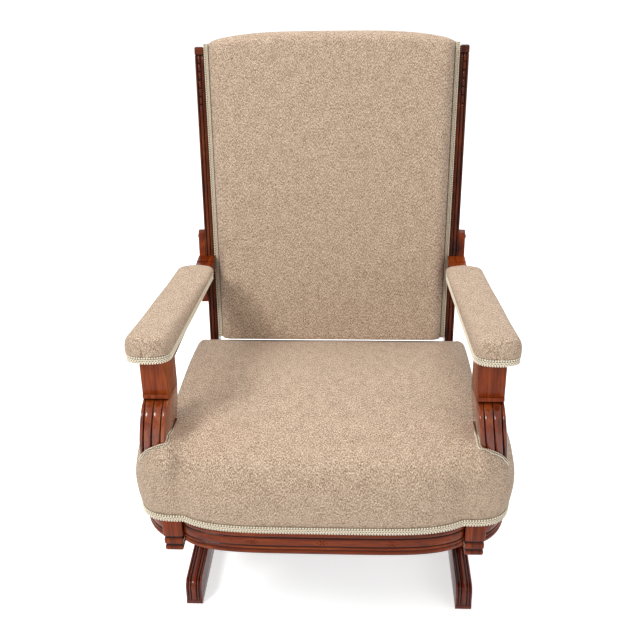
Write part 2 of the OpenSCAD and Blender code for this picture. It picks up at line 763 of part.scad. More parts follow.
module stile() {
    reed_r = stile_w / 4;
    low = stile_foot_s - stile_spare;
    color(wood_c) difference() {
        stile_axis() difference() {
            translate([0, 0, low]) linear_extrude(stile_rise - low) {
                translate([-stile_w / 2, reed_r]) square([stile_w, stile_d - reed_r]);
                for (x = [-reed_r, reed_r]) translate([x, reed_r]) circle(reed_r);
            }
            for (i = [1:notch_count])
                translate([-stile_w / 2 - over, 0, stile_rise - cap_h - i * notch_pitch]) rotate([0, 90, 0])
                    cylinder(r = notch_r, h = stile_w + 2 * over);
            translate([-stile_w / 2 - over, 0, stile_rise - cap_h]) rotate([0, 90, 0])
                cylinder(r = cap_groove_r, h = stile_w + 2 * over);
            translate([stile_w / 2 - stile_top_r, -over, stile_rise - stile_top_r]) difference() {
                cube([stile_top_r + over, stile_d + 2 * over, stile_top_r + over]);
                rotate([-90, 0, 0]) cylinder(r = stile_top_r, h = stile_d + 2 * over);
            }
        }
        translate([0, 0, rail_z - 2 * stile_spare - stile_d])
            cube([half_w, half_w, 2 * stile_spare + stile_d]);
        for (s = [bracket_screw_low, bracket_screw_high])
            stile_axis() translate([stile_w / 2 + over, (stile_d - bracket_rear) / 2, s]) rotate([0, -90, 0])
                cylinder(r = screw_r + bore_gap, h = bracket_bore_len + over);
    }
}

// Board of the back frame between the stiles, from s0 up to s1
module back_board(s0, s1, y, t) {
    x0 = stile_in(s0) - fit_gap;
    x1 = stile_in(s1) - fit_gap;
    back_frame() front_slab(y, t) polygon([[-x0, s0], [x0, s0], [x1, s1], [-x1, s1]]);
}

lower_rail_s = 12;
panel_low_s = -86;

module back_top_rail() {
    color(wood_c) back_board(top_rail_s, top_rail_s + back_rail_h, back_rail_y, back_rail_t);
}

module back_lower_rail() {
    color(wood_c) back_board(lower_rail_s, lower_rail_s + back_rail_h, back_rail_y, back_rail_t);
}

module outside_back() {
    color(cloth_c) back_board(panel_low_s, top_rail_s + back_rail_h, back_rail_y + back_rail_t, panel_t);
}

// Back cushion: its cane-shaped section is lofted from stile to stile
back_ledge = 10;
back_round = 25;
back_ledge_y = 2.3;
back_crown = 5;
back_edge_drop = 21;
arch_power = 3.6;
roll_y = 39.5;
roll_r = 15;
front_roll_r = 26;
back_half = stile_in(stile_rise / 2) - seat_rear_gap;
back_steps = [0, 2, 6, 13, back_round, 65, 125];
function back_front(d) = d >= back_round ? -back_proud
    : back_ledge_y - (back_proud + back_ledge_y) * sqrt(1 - pow(1 - d / back_round, 2));
function back_top(u) = stile_rise + back_arch - back_edge_drop * pow(abs(u), arch_power);
front_shares = [0.86, 0.7, 0.52, 0.34, 0.18, 0.06];
belly_shares = [[0.06, 0.22], [0.3, 0.05]];
function back_section(u, f) = let (
    top = back_top(u),
    r = min(front_roll_r, (roll_y - f) / 2 - over),
    seat = top_rail_s + back_rail_h + soft_gap,
    y_back = back_rail_y - soft_gap,
    crown = f < 0 ? back_crown * (1 - u * u) : 0,
    s0 = back_cushion_s
) concat(
    [[y_back, s0], [y_back, seat], [roll_y - over, seat]],
    [for (a = [0:30:90]) [roll_y - roll_r + roll_r * cos(a), top - roll_r + roll_r * sin(a)]],
    [for (a = [90:22.5:180]) [f + r + r * cos(a), top - r + r * sin(a)]],
    [for (k = front_shares) [f - crown * sin(180 * k), s0 + (top - r - s0) * k]],
    [for (k = belly_shares) [f + (y_back - f) * k[0], s0 + (y_back - f) * k[1]]]
);
function back_ring(u, f) = [for (p = back_section(u, f))
    [u * (stile_in(p[1]) - seat_rear_gap), p[0], p[1]]];

module back_cushion() {
    half_rows = concat([[1, back_ledge_y]],
        [for (d = back_steps) [(back_half - back_ledge - d) / back_half, back_front(d)]]);
    rows = concat(
        [for (r = half_rows) [-r[0], r[1]]], [[0, -back_proud]],
        [for (i = [len(half_rows) - 1:-1:0]) half_rows[i]]
    );
    rings = [for (r = rows) back_ring(r[0], r[1])];
    mid = [back_rail_y - over, top_rail_s + back_rail_h + 2 * over];
    edge = stile_in(mid[1]) - seat_rear_gap;
    color(cloth_c) back_frame() loft(rings, [-edge, mid[0], mid[1]], [edge, mid[0], mid[1]]);
}

back_gimp_w = 9.2;

module back_gimp() {
    s0 = back_cushion_s + over;
    s1 = stile_rise - over;
    color(gimp_c) back_frame() front_slab(0, back_ledge_y - soft_gap) polygon([
        [stile_in(s0) - seat_rear_gap, s0], [stile_in(s1) - seat_rear_gap, s1],
        [stile_in(s1) - seat_rear_gap - back_gimp_w, s1], [stile_in(s0) - seat_rear_gap - back_gimp_w, s0]
    ]);
}

// Arm supports: plain above a moulding, below it four reeds that swell forward like a scroll.
// Rows down the reeded part: shares of its height, of the bulge and of its sweep outward
bulge_shares = [
    [1, 0.34, 1], [0.75, 0.42, 1], [0.56, 0.56, 1], [0.43, 0.73, 0.95], [0.33, 0.92, 0.72],
    [0.22, 1, 0.42], [0.14, 0.94, 0.22], [0.075, 0.75, 0.1], [0.03, 0.46, 0.03], [0.008, 0.15, 0]
];
reed_count = 4;
reed_steps = 4;
reed_depth = 4;
post_drift = 9;
post_toe = 4;
post_heel = 8;
mould_h = 12;
mould_proud = 2.5;
mould_ease = 1.2;

// Section of a support at a height: front face with its reeds cut to a depth, then the rear face
reed_open_share = 0.96;
reed_edge_share = 0.03;
function reed_shape(u) = 1 - sqrt(1 - pow(2 * u - 1, 2) * reed_open_share);
function post_ring(x0, w, front, rear, depth, z) = concat(
    [[x0 + w - post_toe, rear, z], [x0 - post_toe, rear, z]],
    [for (r = [0:reed_count - 1]) for (i = [0:reed_steps]) let (u = i / reed_steps)
        [x0 + w * (r + reed_edge_share + (1 - 2 * reed_edge_share) * u) / reed_count,
            front + depth * reed_shape(u), z]]
);
function sloped(ring) = [for (p = ring) [p[0], p[1], arm_top(p[1])]];
function reeded_row(b) = post_ring(post_x + post_drift * b[2], post_w,
    -post_front - post_bulge * b[1], post_rear_y + post_heel * b[0], reed_depth,
    mould_z - b[0] * (mould_z - rail_top));

module arm_support() {
    plain = -post_front;
    rings = concat(
        [for (b = bulge_shares) reeded_row(b)],
        [post_ring(post_x, post_w, plain + mould_proud, post_rear_y, 0, mould_z),
         post_ring(post_x, post_w, plain - mould_proud, post_rear_y, 0, mould_z + mould_ease),
         post_ring(post_x, post_w, plain - mould_proud, post_rear_y, 0, mould_z + mould_h - mould_ease),
         post_ring(post_x, post_w, plain, post_rear_y, 0, mould_z + mould_h),
         sloped(post_ring(post_x, post_w, plain, post_rear_y, 0, arm_z))]
    );
    mid_x = post_x + post_w / 2;
    mid_y = (plain + post_rear_y) / 2;
    color(wood_c) loft(rings, [mid_x, mid_y, rail_top], [mid_x, mid_y, arm_top(mid_y)]);
}

// Room for a support in the seat cushion
pocket_gap = 0.4;

module post_pocket() {
    rings = [for (b = concat([[1 + over / rail_h, bulge_shares[0][1], 1]], bulge_shares))
        let (x = post_x + post_drift * b[2] - pocket_gap, w = post_w + 2 * pocket_gap,
            f = -post_front - post_bulge * b[1] - pocket_gap,
            r = post_rear_y + post_heel * b[0] + pocket_gap,
            z = mould_z - b[0] * (mould_z - rail_top))
            [[x + w - post_toe, r, z], [x - post_toe, r, z], [x, f, z], [x + w, f, z]]];
    mid_x = post_x + post_w / 2;
    mid_y = -post_front + post_d / 2;
    loft(rings, [mid_x, mid_y, rings[0][0][2]], [mid_x, mid_y, mould_z]);
}

// Arm rails: from a support to the back, with a square block raised in front of the stile
arm_end_w = 33;
arm_end_in = 3;
arm_end_x = stile_in(arm_s) - arm_end_in;
arm_block_h = 3;
arm_straight = 95;
arm_block_len = 28;
arm_sag = 4;
arm_steps = 8;

module arm_rail() {
    y0 = post_rear_y + fit_gap;
    y1 = back_meet(0) - fit_gap;
    function end_y(z) = back_plane_y(z) - fit_gap;
    top_z = arm_top(y1) + arm_block_h;
    low_z = arm_top(y1) - arm_rail_t;
    color(wood_c) intersection() {
        linear_extrude(arm_z + arm_block_h) polygon([
            [post_x - post_toe, y0], [post_x + post_w - post_toe, y0],
            [arm_end_x + arm_end_w, y1 - arm_straight], [arm_end_x + arm_end_w, y1 + arm_block_len],
            [arm_end_x, y1 + arm_block_len], [arm_end_x, y1 - arm_straight]
        ]);
        slab(0, half_w) polygon(concat(
            [[y0, arm_top(y0)]],
            [for (i = [0:arm_steps]) let (t = i / arm_steps, y = y0 + (end_y(low_z) - y0) * t)
                [y, arm_top(y) - arm_rail_t + arm_sag * sin(180 * t)]],
            [[end_y(top_z), top_z], [end_y(top_z) - arm_block_len, top_z],
             [end_y(top_z) - arm_block_len, arm_top(end_y(top_z) - arm_block_len)]]
        ));
    }
}

// Arm brackets on the stiles: an ear above the arm, and a cove-shaped corbel under it
ear_rise = 44;
ear_top_z = arm_z + ear_rise;
corbel_in = 20;
corbel_y = back_foot_y - corbel_in;
corbel_len = 89;
corbel_foot_s = arm_s - corbel_len;
corbel_nose = 10;
corbel_steps = 8;
drop_t = 12;
drop_lap = 2;
drop_front = 22;
drop_h = 24;
drop_flat = 12;
drop_root = 8;
bracket_rear = 4;
bracket_ear_shares = [
    [1, 0.5], [0.97, 0.85], [0.85, 0.97], [0.65, 1], [0.25, 1], [0.1, 0.93], [0.03, 0.6]
];

module arm_bracket() {
    depth = stile_d - bracket_rear;
    under = arm_rail_t + 2 * fit_gap;
    nose = to_back(corbel_y, arm_top(corbel_y) - under);
    root = to_back(back_meet(under), arm_top(back_meet(under)) - under);
    ear_s = to_back(back_foot_y, ear_top_z)[1];
    drop = nose[1] - corbel_nose - corbel_foot_s;
    x0 = stile_w / 2 + fit_gap / 2;
    tip = to_back(corbel_y - drop_front, arm_top(corbel_y - drop_front) - under);
    low = to_back(corbel_y - drop_front, arm_top(corbel_y - drop_front) - under - drop_h);
    flat = low[0] + drop_flat;
    color(wood_c) stile_axis() translate([x0, 0, 0]) difference() {
        union() {
            slab(0, arm_bracket_t) polygon(concat(
                [[depth, corbel_foot_s + depth / 2], [depth, root[1]]],
                [for (p = bracket_ear_shares) [p[0] * depth, root[1] + (ear_s - root[1]) * p[1]]],
                [[0, root[1]], [nose[0], nose[1]]],
                [for (i = [corbel_steps:-1:0]) let (a = 90 * i / corbel_steps)
                    [nose[0] * (1 - cos(a)), corbel_foot_s + drop * sin(a)]],
                [[depth / 2, corbel_foot_s]]
            ));
            slab(arm_bracket_t - drop_lap, drop_t) polygon(concat(
                [[0, root[1]], tip, low],
                [for (i = [0:corbel_steps]) let (a = 90 * i / corbel_steps)
                    [flat * cos(a), low[1] + (root[1] - drop_root - low[1]) * sin(a)]]
            ));
        }
        for (s = [bracket_screw_low, bracket_screw_high])
            translate([-over, depth / 2, s]) rotate([0, 90, 0])
                cylinder(r = screw_r + bore_gap, h = arm_bracket_t + 2 * over);
    }
}

bracket_screw_rise = 36;
bracket_screw_pitch = 95;
bracket_screw_low = corbel_foot_s + bracket_screw_rise;
bracket_screw_high = bracket_screw_low + bracket_screw_pitch;
bracket_bore_len = 8;

// Arm pads: half width at t back from the pad's front, moved out by o, round at both ends
pad_nose = 28;
pad_nose_power = 2.6;
pad_heel = 12;
pad_taper = 3;
function pad_end(t, depth) = pow(1 - pow(1 - min(1, t / depth), pad_nose_power), 1 / pad_nose_power);
function pad_half(t, o) = (pad_half_w - pad_taper * t / pad_len + o)
    * pad_end(t + o, pad_nose + o) * pad_end(pad_len + o - t, pad_heel + o);
nose_shares = [0.03, 0.1, 0.2, 0.35, 0.55, 0.8, 1];
pad_mid_shares = [0.28, 0.46, 0.64, 0.82];
heel_shares = [1, 0.5, 0.2, 0.04];
function pad_stations() = concat(
    [for (k = nose_shares) k * pad_nose],
    [for (k = pad_mid_shares) k * pad_len],
    [for (k = heel_shares) pad_len - k * pad_heel]
);

// Place along the pad of a station at t when its outline is moved out by o
function pad_place(t, o) = t + o * (2 * t / pad_len - 1);

// Half section above the gimp: share of the half width, share of the height left
pad_section_shares = [[1, 0.22], [0.985, 0.5], [0.9, 0.78], [0.66, 0.94], [0.34, 0.99], [0, 1]];
pad_fall_power = 1.15;
pad_nose_share = 0.8;
function pad_height(t) = (pad_rear_h + (pad_h - pad_rear_h) * pow(1 - t / pad_len, pad_fall_power))
    * (pad_nose_share + (1 - pad_nose_share) * pad_end(t, pad_nose));

module arm_pad() {
    inner = gimp_t + soft_gap;
    rings = [for (t = pad_stations()) let (
        low = pad_place(t, -inner), b = pad_half(low, -inner),
        w = pad_half(t, 0), h = pad_height(t), g = gimp_h + soft_gap,
        half = concat([[0, low, 0], [b, low, 0], [b, low, g]],
            [for (p = pad_section_shares) [w * p[0], t, g + (h - g) * p[1]]])
    ) [for (p = concat([for (i = [0:len(half) - 1]) [-half[i][0], half[i][1], half[i][2]]],
            [for (i = [len(half) - 2:-1:1]) half[i]]))
        [arm_mid(p[1]) + p[0], p[1], p[2] + soft_gap]]];
    y0 = rings[0][1][1];
    y1 = rings[len(rings) - 1][1][1];
    z = gimp_h + 2 * soft_gap;
    color(cloth_c) arm_frame() loft(rings, [arm_mid(y0), y0, z], [arm_mid(y1), y1, z]);
}

function pad_plan(o) = let (ts = [for (t = pad_stations()) pad_place(t, o)]) concat(
    [for (t = ts) [arm_mid(t) + pad_half(t, o), t]],
    [for (i = [len(ts) - 1:-1:0]) [arm_mid(ts[i]) - pad_half(ts[i], o), ts[i]]]
);

module arm_gimp() {
    color(gimp_c) arm_frame() translate([0, 0, soft_gap]) linear_extrude(gimp_h) difference() {
        polygon(pad_plan(0));
        polygon(pad_plan(-gimp_t));
    }
}

// Screws of the upper brackets and the arm brackets
module chair_screws() {
    depth = stile_d - bracket_rear;
    color(steel_c) for (side = [0, 1]) mirror([side, 0, 0]) {
        for (y = [-1, 1])
            translate([rocker_x - bracket_t, contact_y + y * screw_row, upper_screw_z]) screw();
        for (s = [bracket_screw_low, bracket_screw_high])
            stile_axis() translate([stile_w / 2 + fit_gap / 2 + arm_bracket_t, depth / 2, s])
                rotate([0, 0, 180]) screw();
    }
}

on_left() foot();  // foot_left
foot();  // foot_right
on_left() track_rail();  // track_rail_left
track_rail();  // track_rail_right
on_left() wear_strip();  // wear_strip_left
wear_strip();  // wear_strip_right
on_left() front_upright();  // upright_front_left
front_upright();  // upright_front_right
on_left() rear_upright();  // upright_rear_left
rear_upright();  // upright_rear_right
stretcher(stretcher_front_y);  // stretcher_front
stretcher(stretcher_rear_y);  // stretcher_rear
on_left() lower_bracket();  // lower_bracket_left
lower_bracket();  // lower_bracket_right
on_left() rocker_springs();  // rocker_springs_left
rocker_springs();  // rocker_springs_right
base_screws();
on_left() rocker();  // rocker_left
rocker();  // rocker_right
on_left() upper_bracket();  // upper_bracket_left
upper_bracket();  // upper_bracket_right
chair_screws();
front_rail();
on_left() side_rail();  // side_rail_left
side_rail();  // side_rail_right
on_left() ear_rail();  // ear_rail_left
ear_rail();  // ear_rail_right
rear_rail();
on_left() corner_block();  // corner_block_left
corner_block();  // corner_block_right
corner_braces();
seat_webbing();
seat_springs();
seat_cushion();
seat_gimp();
dust_cover();
on_left() stile();  // stile_left
stile();  // stile_right
back_top_rail();
back_lower_rail();
back_cushion();
on_left() back_gimp();  // back_gimp_left
back_gimp();  // back_gimp_right
outside_back();
on_left() arm_support();  // arm_support_left
arm_support();  // arm_support_right
on_left() arm_rail();  // arm_rail_left
arm_rail();  // arm_rail_right
on_left() arm_bracket();  // arm_bracket_left
arm_bracket();  // arm_bracket_right
on_left() arm_pad();  // arm_pad_left
arm_pad();  // arm_pad_right
on_left() arm_gimp();  // arm_gimp_left
arm_gimp();  // arm_gimp_right
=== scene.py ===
import math
from functools import cache

import bmesh
import bpy
import numpy as np
from mathutils import Matrix, Vector
from mathutils.bvhtree import BVHTree


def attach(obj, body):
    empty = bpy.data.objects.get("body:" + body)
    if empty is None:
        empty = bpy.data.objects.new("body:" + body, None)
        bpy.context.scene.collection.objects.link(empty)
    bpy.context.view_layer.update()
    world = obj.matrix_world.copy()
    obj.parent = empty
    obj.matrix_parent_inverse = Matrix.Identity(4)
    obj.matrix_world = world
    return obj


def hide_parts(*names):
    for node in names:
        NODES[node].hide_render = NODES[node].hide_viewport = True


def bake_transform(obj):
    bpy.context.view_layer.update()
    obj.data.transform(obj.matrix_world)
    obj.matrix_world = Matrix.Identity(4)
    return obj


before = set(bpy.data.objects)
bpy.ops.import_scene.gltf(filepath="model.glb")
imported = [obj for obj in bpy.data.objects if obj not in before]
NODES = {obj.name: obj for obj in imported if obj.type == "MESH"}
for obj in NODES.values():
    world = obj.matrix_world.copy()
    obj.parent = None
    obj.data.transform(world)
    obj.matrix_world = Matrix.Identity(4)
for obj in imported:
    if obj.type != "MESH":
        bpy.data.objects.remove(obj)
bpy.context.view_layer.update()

bl_info = {
    "name": "Platform rocker dressing",
    "version": (1, 0, 0),
    "blender": (4, 5, 0),
    "location": "View3D > Sidebar > Rocker",
    "description": "Upholstery, mouldings, springs and finishes of an upholstered platform rocker",
    "category": "Object",
}

MM = 0.001

# Driving sizes of the frame, in millimetres, as the solids have them
RAIL_Z, RAIL_H = 292.0, 43.0
RAIL_TOP = RAIL_Z + RAIL_H
BOW_T, BOW_DEPTH, BOW_HALF = 24.0, 32.0, 230.0
GROOVE = 2.5
GIMP_H, GIMP_T, SOFT_GAP, FIT_GAP = 14.0, 2.6, 0.3, 0.2
HALF_W = 308.0
CLOTH_OUT = 1.1
BOW_Y = -356.0 + GIMP_T + SOFT_GAP + CLOTH_OUT
RAIL_END_Y = BOW_Y + BOW_DEPTH
BLOCK_X, BLOCK_W, BLOCK_D = BOW_HALF + 1, 33.0, 35.0
BLOCK_Y = RAIL_END_Y - 6.0
BLOCK_REAR = BLOCK_Y + BLOCK_D
BLOCK_DROP = 19.0
EAR_CX, EAR_CY, EAR_BACK = BOW_HALF, RAIL_END_Y + 91.0, 44.0
EAR_RX, EAR_RY = 75.0, 95.0
RECLINE, SPLAY = math.radians(16.5), math.radians(1.82)
SEAT_BACK_Z, BACK_FOOT_Y = 432.0, 140.0
STILE_RISE, STILE_W, STILE_D, STILE_FOOT_X = 568.0, 17.0, 36.0, 245.0
STILE_MID_X = STILE_FOOT_X - STILE_W / 2 / math.cos(SPLAY)
STILE_RAIL_S = (RAIL_TOP - SEAT_BACK_Z) / math.cos(RECLINE) + STILE_D * math.tan(RECLINE)
SIDE_RAIL_X = STILE_MID_X + STILE_RAIL_S * math.tan(SPLAY) + STILE_W / 2 / math.cos(SPLAY) + FIT_GAP
SIDE_OUT_X = SIDE_RAIL_X + 26.0
ARM_Z, ARM_SLOPE = 614.5, math.radians(3.15)
POST_X, POST_W, POST_FRONT, POST_D, POST_BULGE = 242.0, 41.0, 283.0, 56.0, 35.0
POST_REAR = -POST_FRONT + POST_D
POST_DRIFT, POST_TOE, POST_HEEL = 9.0, 4.0, 8.0
MOULD_Z = 540.0
PAD_LEN, PAD_H, PAD_REAR_H, PAD_HALF_W = 383.0, 44.0, 22.0, 36.0
PAD_NOSE, PAD_TAPER, PAD_POWER, PAD_GIMP_H = 28.0, 3.0, 2.6, 11.0
PAD_TAIL, PAD_OUT, PAD_TOE_IN = 12.0, 5.5, 18.5
PAD_FRONT_Y = -POST_FRONT - 20.0
SEAT_FRONT_Z, SEAT_CROWN, SEAT_MID_Y, SEAT_REAR_DROP = 462.0, 16.0, -125.0, 28.0
SEAT_SIDE_Z = RAIL_TOP + GIMP_H + SOFT_GAP
BACK_PROUD, BACK_ARCH = 30.0, 26.0
EAR_FULL = 19.0
BACK_REAR_Y, BACK_SEAT_S, BACK_LOW_S, BACK_ROUND = STILE_D - 21.0, STILE_RISE - 16.0, 1.0, 25.0
COVER_T = 1.5
COVER_Z = RAIL_Z - 2 * FIT_GAP - COVER_T
COVER_MID_Y = -90.0
FOOT_X, FOOT_W, FOOT_H, FOOT_REAR, TOE_Y, TOE_R = 260.0, 31.0, 55.0, 356.0, 160.0, 20.0


# ---------------------------------------------------------------- shapes shared with the solids

def bow_at(x):
    return RAIL_END_Y - BOW_DEPTH * (1 - min(1.0, abs(x) / BOW_HALF) ** 5) ** 0.77


def ear_line(rx, ry, side_x, back, square, x0, steps=40):
    a0 = math.asin((x0 - EAR_CX) / rx)
    out = []
    for i in range(steps + 1):
        a = a0 + (math.pi / 2 - a0) * i / steps
        out.append((EAR_CX + rx * max(0.0, math.sin(a)) ** square,
                    EAR_CY - ry * max(0.0, math.cos(a)) ** square))
    for i in range(1, steps // 2 + 1):
        a = math.pi / 2 * i / (steps // 2)
        out.append((side_x + (EAR_CX + rx - side_x) * math.cos(a), EAR_CY + back * math.sin(a)))
    return out


def back_plane_y(z):
    return BACK_FOOT_Y + (z - SEAT_BACK_Z) * math.tan(RECLINE)


def from_back(x, y, s):
    """World place of a point y behind the back's front plane and s up a stile."""
    return (x, BACK_FOOT_Y + y * math.cos(RECLINE) + s * math.sin(RECLINE),
            SEAT_BACK_Z - y * math.sin(RECLINE) + s * math.cos(RECLINE))


def stile_in(s):
    return STILE_MID_X + s * math.tan(SPLAY) - STILE_W / 2 / math.cos(SPLAY)


def from_arm(x, t, h):
    """World place of a point t back from the pad's front and h above the arm's top."""
    return (x, PAD_FRONT_Y + t * math.cos(ARM_SLOPE) + h * math.sin(ARM_SLOPE),
            ARM_Z - t * math.sin(ARM_SLOPE) + h * math.cos(ARM_SLOPE))


def arm_top(y):
    return ARM_Z - (y - PAD_FRONT_Y) * math.tan(ARM_SLOPE)


def arm_mid(t):
    return POST_X + POST_W / 2 + PAD_OUT - PAD_TOE_IN * t / PAD_LEN


def smooth_curve(values, per):
    """Catmull-Rom curve through rows of values, with per steps between neighbours."""
    v = np.asarray(values, float)
    if v.ndim == 1:
        v = v[:, None]
    ext = np.vstack([2 * v[0] - v[1], v, 2 * v[-1] - v[-2]])
    out = []
    for k in range(1, len(ext) - 2):
        p0, p1, p2, p3 = ext[k - 1], ext[k], ext[k + 1], ext[k + 2]
        for i in range(per):
            t = i / per
            out.append(0.5 * ((2 * p1) + (-p0 + p2) * t + (2 * p0 - 5 * p1 + 4 * p2 - p3) * t * t
                              + (-p0 + 3 * p1 - 3 * p2 + p3) * t ** 3))
    out.append(v[-1])
    return np.array(out)


def resample(points, count):
    """Points spread evenly by length along a polyline."""
    p = np.asarray(points, float)
    d = np.concatenate([[0], np.cumsum(np.linalg.norm(np.diff(p, axis=0), axis=1))])
    t = np.linspace(0, d[-1], count)
    return np.stack([np.interp(t, d, p[:, k]) for k in range(p.shape[1])], axis=1)


def mirrored(points):
    p = np.array(points, float)
    p[..., 0] *= -1
    return p


def eased(points, passes, closed=False):
    """Softens the small kinks of a line; the ends of an open line stay."""
    p = np.array(points, float)
    for _ in range(passes):
        q = 0.25 * np.roll(p, 1, axis=0) + 0.5 * p + 0.25 * np.roll(p, -1, axis=0)
        if not closed:
            q[0], q[-1] = p[0], p[-1]
        p = q
    return p


def wave(value, centre, width):
    return np.exp(-((value - centre) / width) ** 2)


def arc(start, end, count):
    """Cosine and sine of evenly spread angles, given in degrees."""
    return [(math.cos(a), math.sin(a)) for a in np.linspace(math.radians(start), math.radians(end), count)]


# ---------------------------------------------------------------- mesh helpers

def mesh_object(name, verts_mm, edges, faces):
    """Object in the scene with a mesh from points in millimetres."""
    mesh = bpy.data.meshes.new(name)
    points = (np.asarray(verts_mm, float) * MM).tolist()
    mesh.from_pydata(points, edges, [tuple(int(i) for i in f) for f in faces])
    obj = bpy.data.objects.new(name, mesh)
    bpy.context.scene.collection.objects.link(obj)
    return obj


def point_values(obj, label, values, kind="FLOAT"):
    """Gives each point of a mesh a value under a name."""
    layer = obj.data.attributes.new(label, kind, "POINT")
    if values is not None:
        key = "vector" if kind == "FLOAT_VECTOR" else "value"
        layer.data.foreach_set(key, np.array(values, np.float32).ravel())


def add_object(name, verts_mm, faces, uvs=None, groove=None, mirror=False):
    """Smooth object with a UV place, in millimetres, and for each point a share of painted shade for its grooves and
    recesses.
    """
    v = np.array(verts_mm, float)
    if mirror:
        v[:, 0] *= -1
        faces = [tuple(reversed(f)) for f in faces]
    obj = mesh_object(name, v, [], faces)
    mesh = obj.data
    if uvs is not None:
        layer = mesh.uv_layers.new(name="UVMap")
        index = np.empty(len(mesh.loops), dtype=np.int32)
        mesh.loops.foreach_get("vertex_index", index)
        layer.data.foreach_set("uv", (np.asarray(uvs, float)[index] * MM).astype(np.float32).ravel())
    point_values(obj, "groove", groove)
    mesh.update()
    mesh.shade_smooth()
    return obj


def ring_faces(rings, count):
    """Quads between neighbouring rings of so many points each."""
    return [(r * count + c, r * count + (c + 1) % count, (r + 1) * count + (c + 1) % count, (r + 1) * count + c)
            for r in range(rings - 1) for c in range(count)]


def shell(rings, tips=None, flat=False):
    """Points and faces of a closed solid through rings of equal length, each end a fan or one face."""
    r = np.asarray(rings, float)
    m, n = r.shape[:2]
    last = (m - 1) * n
    faces = ring_faces(m, n)
    if flat:
        return r.reshape(-1, 3), faces + [tuple(range(n))[::-1], tuple(range(last, last + n))]
    faces += [(m * n, (i + 1) % n, i) for i in range(n)]
    faces += [(m * n + 1, last + i, last + (i + 1) % n) for i in range(n)]
    return np.vstack([r.reshape(-1, 3), (r[0].mean(axis=0), r[-1].mean(axis=0)) if tips is None else tips]), faces


def outward_faces(obj):
    """Turns a closed mesh right side out."""
    bm = bmesh.new()
    bm.from_mesh(obj.data)
    bmesh.ops.recalc_face_normals(bm, faces=bm.faces)
    bm.to_mesh(obj.data)
    bm.free()


def sharpen(obj, angle=38):
    """Smooth shading broken at edges sharper than the angle."""
    obj.data.shade_smooth()
    obj.data.set_sharp_from_angle(angle=math.radians(angle))


def lofted(name, rings, groove=None, uvs=None, mirror=False, angle=38, turn_out=False):
    """Closed solid through rings of equal length, with a fan over each end."""
    verts, faces = shell(rings)
    if groove is not None:
        groove = np.append(np.ravel(groove), (0, 0))
    if uvs is not None:
        uvs = np.asarray(uvs, float)
        uvs = np.vstack([uvs.reshape(-1, 2), uvs[0].mean(axis=0), uvs[-1].mean(axis=0)])
    obj = add_object(name, verts, faces, uvs, groove, mirror)
    if turn_out:
        outward_faces(obj)
    sharpen(obj, angle)
    return obj


def outward(points, closed=False):
    """Unit normals in plan on the right-hand side of a polyline."""
    p = np.asarray(points, float)[:, :2]
    t = np.roll(p, -1, axis=0) - np.roll(p, 1, axis=0) if closed else np.gradient(p, axis=0)
    t /= np.linalg.norm(t, axis=1)[:, None] + 1e-12
    return np.stack([t[:, 1], -t[:, 0]], axis=1)


def plain(obj):
    """Replaces an object's modifiers by their evaluated result."""
    bpy.context.view_layer.update()
    deps = bpy.context.evaluated_depsgraph_get()
    mesh = bpy.data.meshes.new_from_object(obj.evaluated_get(deps), preserve_all_data_layers=True, depsgraph=deps)
    old = obj.data
    obj.modifiers.clear()
    obj.data = mesh
    if old.users == 0:
        bpy.data.meshes.remove(old)
    return obj


def cut_out(obj, tool):
    """Takes a closed shape out of an object and deletes the shape."""
    mod = obj.modifiers.new("cut", "BOOLEAN")
    mod.operation, mod.solver, mod.object = "DIFFERENCE", "EXACT", tool
    plain(obj)
    bpy.data.objects.remove(tool)


def finish_piece(obj, look, *nodes, body="chair", own=False):
    """Gives a piece its material, where it has no own one, its body and the nodes that it stands for."""
    if not own:
        obj.data.materials.clear()
        obj.data.materials.append(MATERIALS[look])
    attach(obj, body)
    if nodes:
        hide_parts(*nodes)
    return obj


# ---------------------------------------------------------------- nodes

def fill(tree, node, inputs):
    """Sets a node's inputs, each to a number, a colour, a socket or another node's first output."""
    for key, value in inputs.items():
        if isinstance(value, bpy.types.Node):
            value = value.outputs[0]
        if isinstance(value, bpy.types.NodeSocket):
            tree.links.new(value, node.inputs[key])
        elif value is not None:
            node.inputs[key].default_value = value
    return node


def add(tree, kind, inputs=None, **settings):
    node = tree.nodes.new(kind)
    for key, value in settings.items():
        setattr(node, key, value)
    return fill(tree, node, inputs or {})


def calc(tree, op, a, b=None, clamp=False):
    return add(tree, "ShaderNodeMath", {0: a, 1: b}, operation=op, use_clamp=clamp).outputs[0]


def times(tree, a, b):
    return calc(tree, "MULTIPLY", a, b)


def plus(tree, *terms, clamp=False):
    """Sum of sockets and numbers; a pair stands for its product."""
    terms = [times(tree, *term) if isinstance(term, tuple) else term for term in terms]
    total = terms[0]
    for k, term in enumerate(terms[1:], 2):
        total = calc(tree, "ADD", total, term, clamp and k == len(terms))
    return total


def noise(tree, vector, scale, detail, rough, distortion=0.0):
    """Noise texture, stretched where its scale is three numbers."""
    if isinstance(scale, tuple):
        vector = add(tree, "ShaderNodeVectorMath", {0: vector, 1: scale}, operation="MULTIPLY")
        scale = 1.0
    return add(tree, "ShaderNodeTexNoise", {"Vector": vector, "Scale": scale, "Detail": detail, "Roughness": rough,
                                            "Distortion": distortion}).outputs["Fac"]


def ramp(tree, value, *stops):
    """Colour ramp through stops of a place and a grey or a colour."""
    n = add(tree, "ShaderNodeValToRGB", {0: value})
    marks = n.color_ramp.elements
    while len(marks) < len(stops):
        marks.new(0.5)
    for mark, (place, c) in zip(marks, stops):
        mark.position = place
        mark.color = (*c, 1) if isinstance(c, tuple) else (c, c, c, 1)
    return n.outputs[0]


def mix_colour(tree, share, a, b):
    a, b = ((*c, 1) if isinstance(c, tuple) else c for c in (a, b))
    return add(tree, "ShaderNodeMix", {0: share, 6: a, 7: b}, data_type="RGBA").outputs[2]


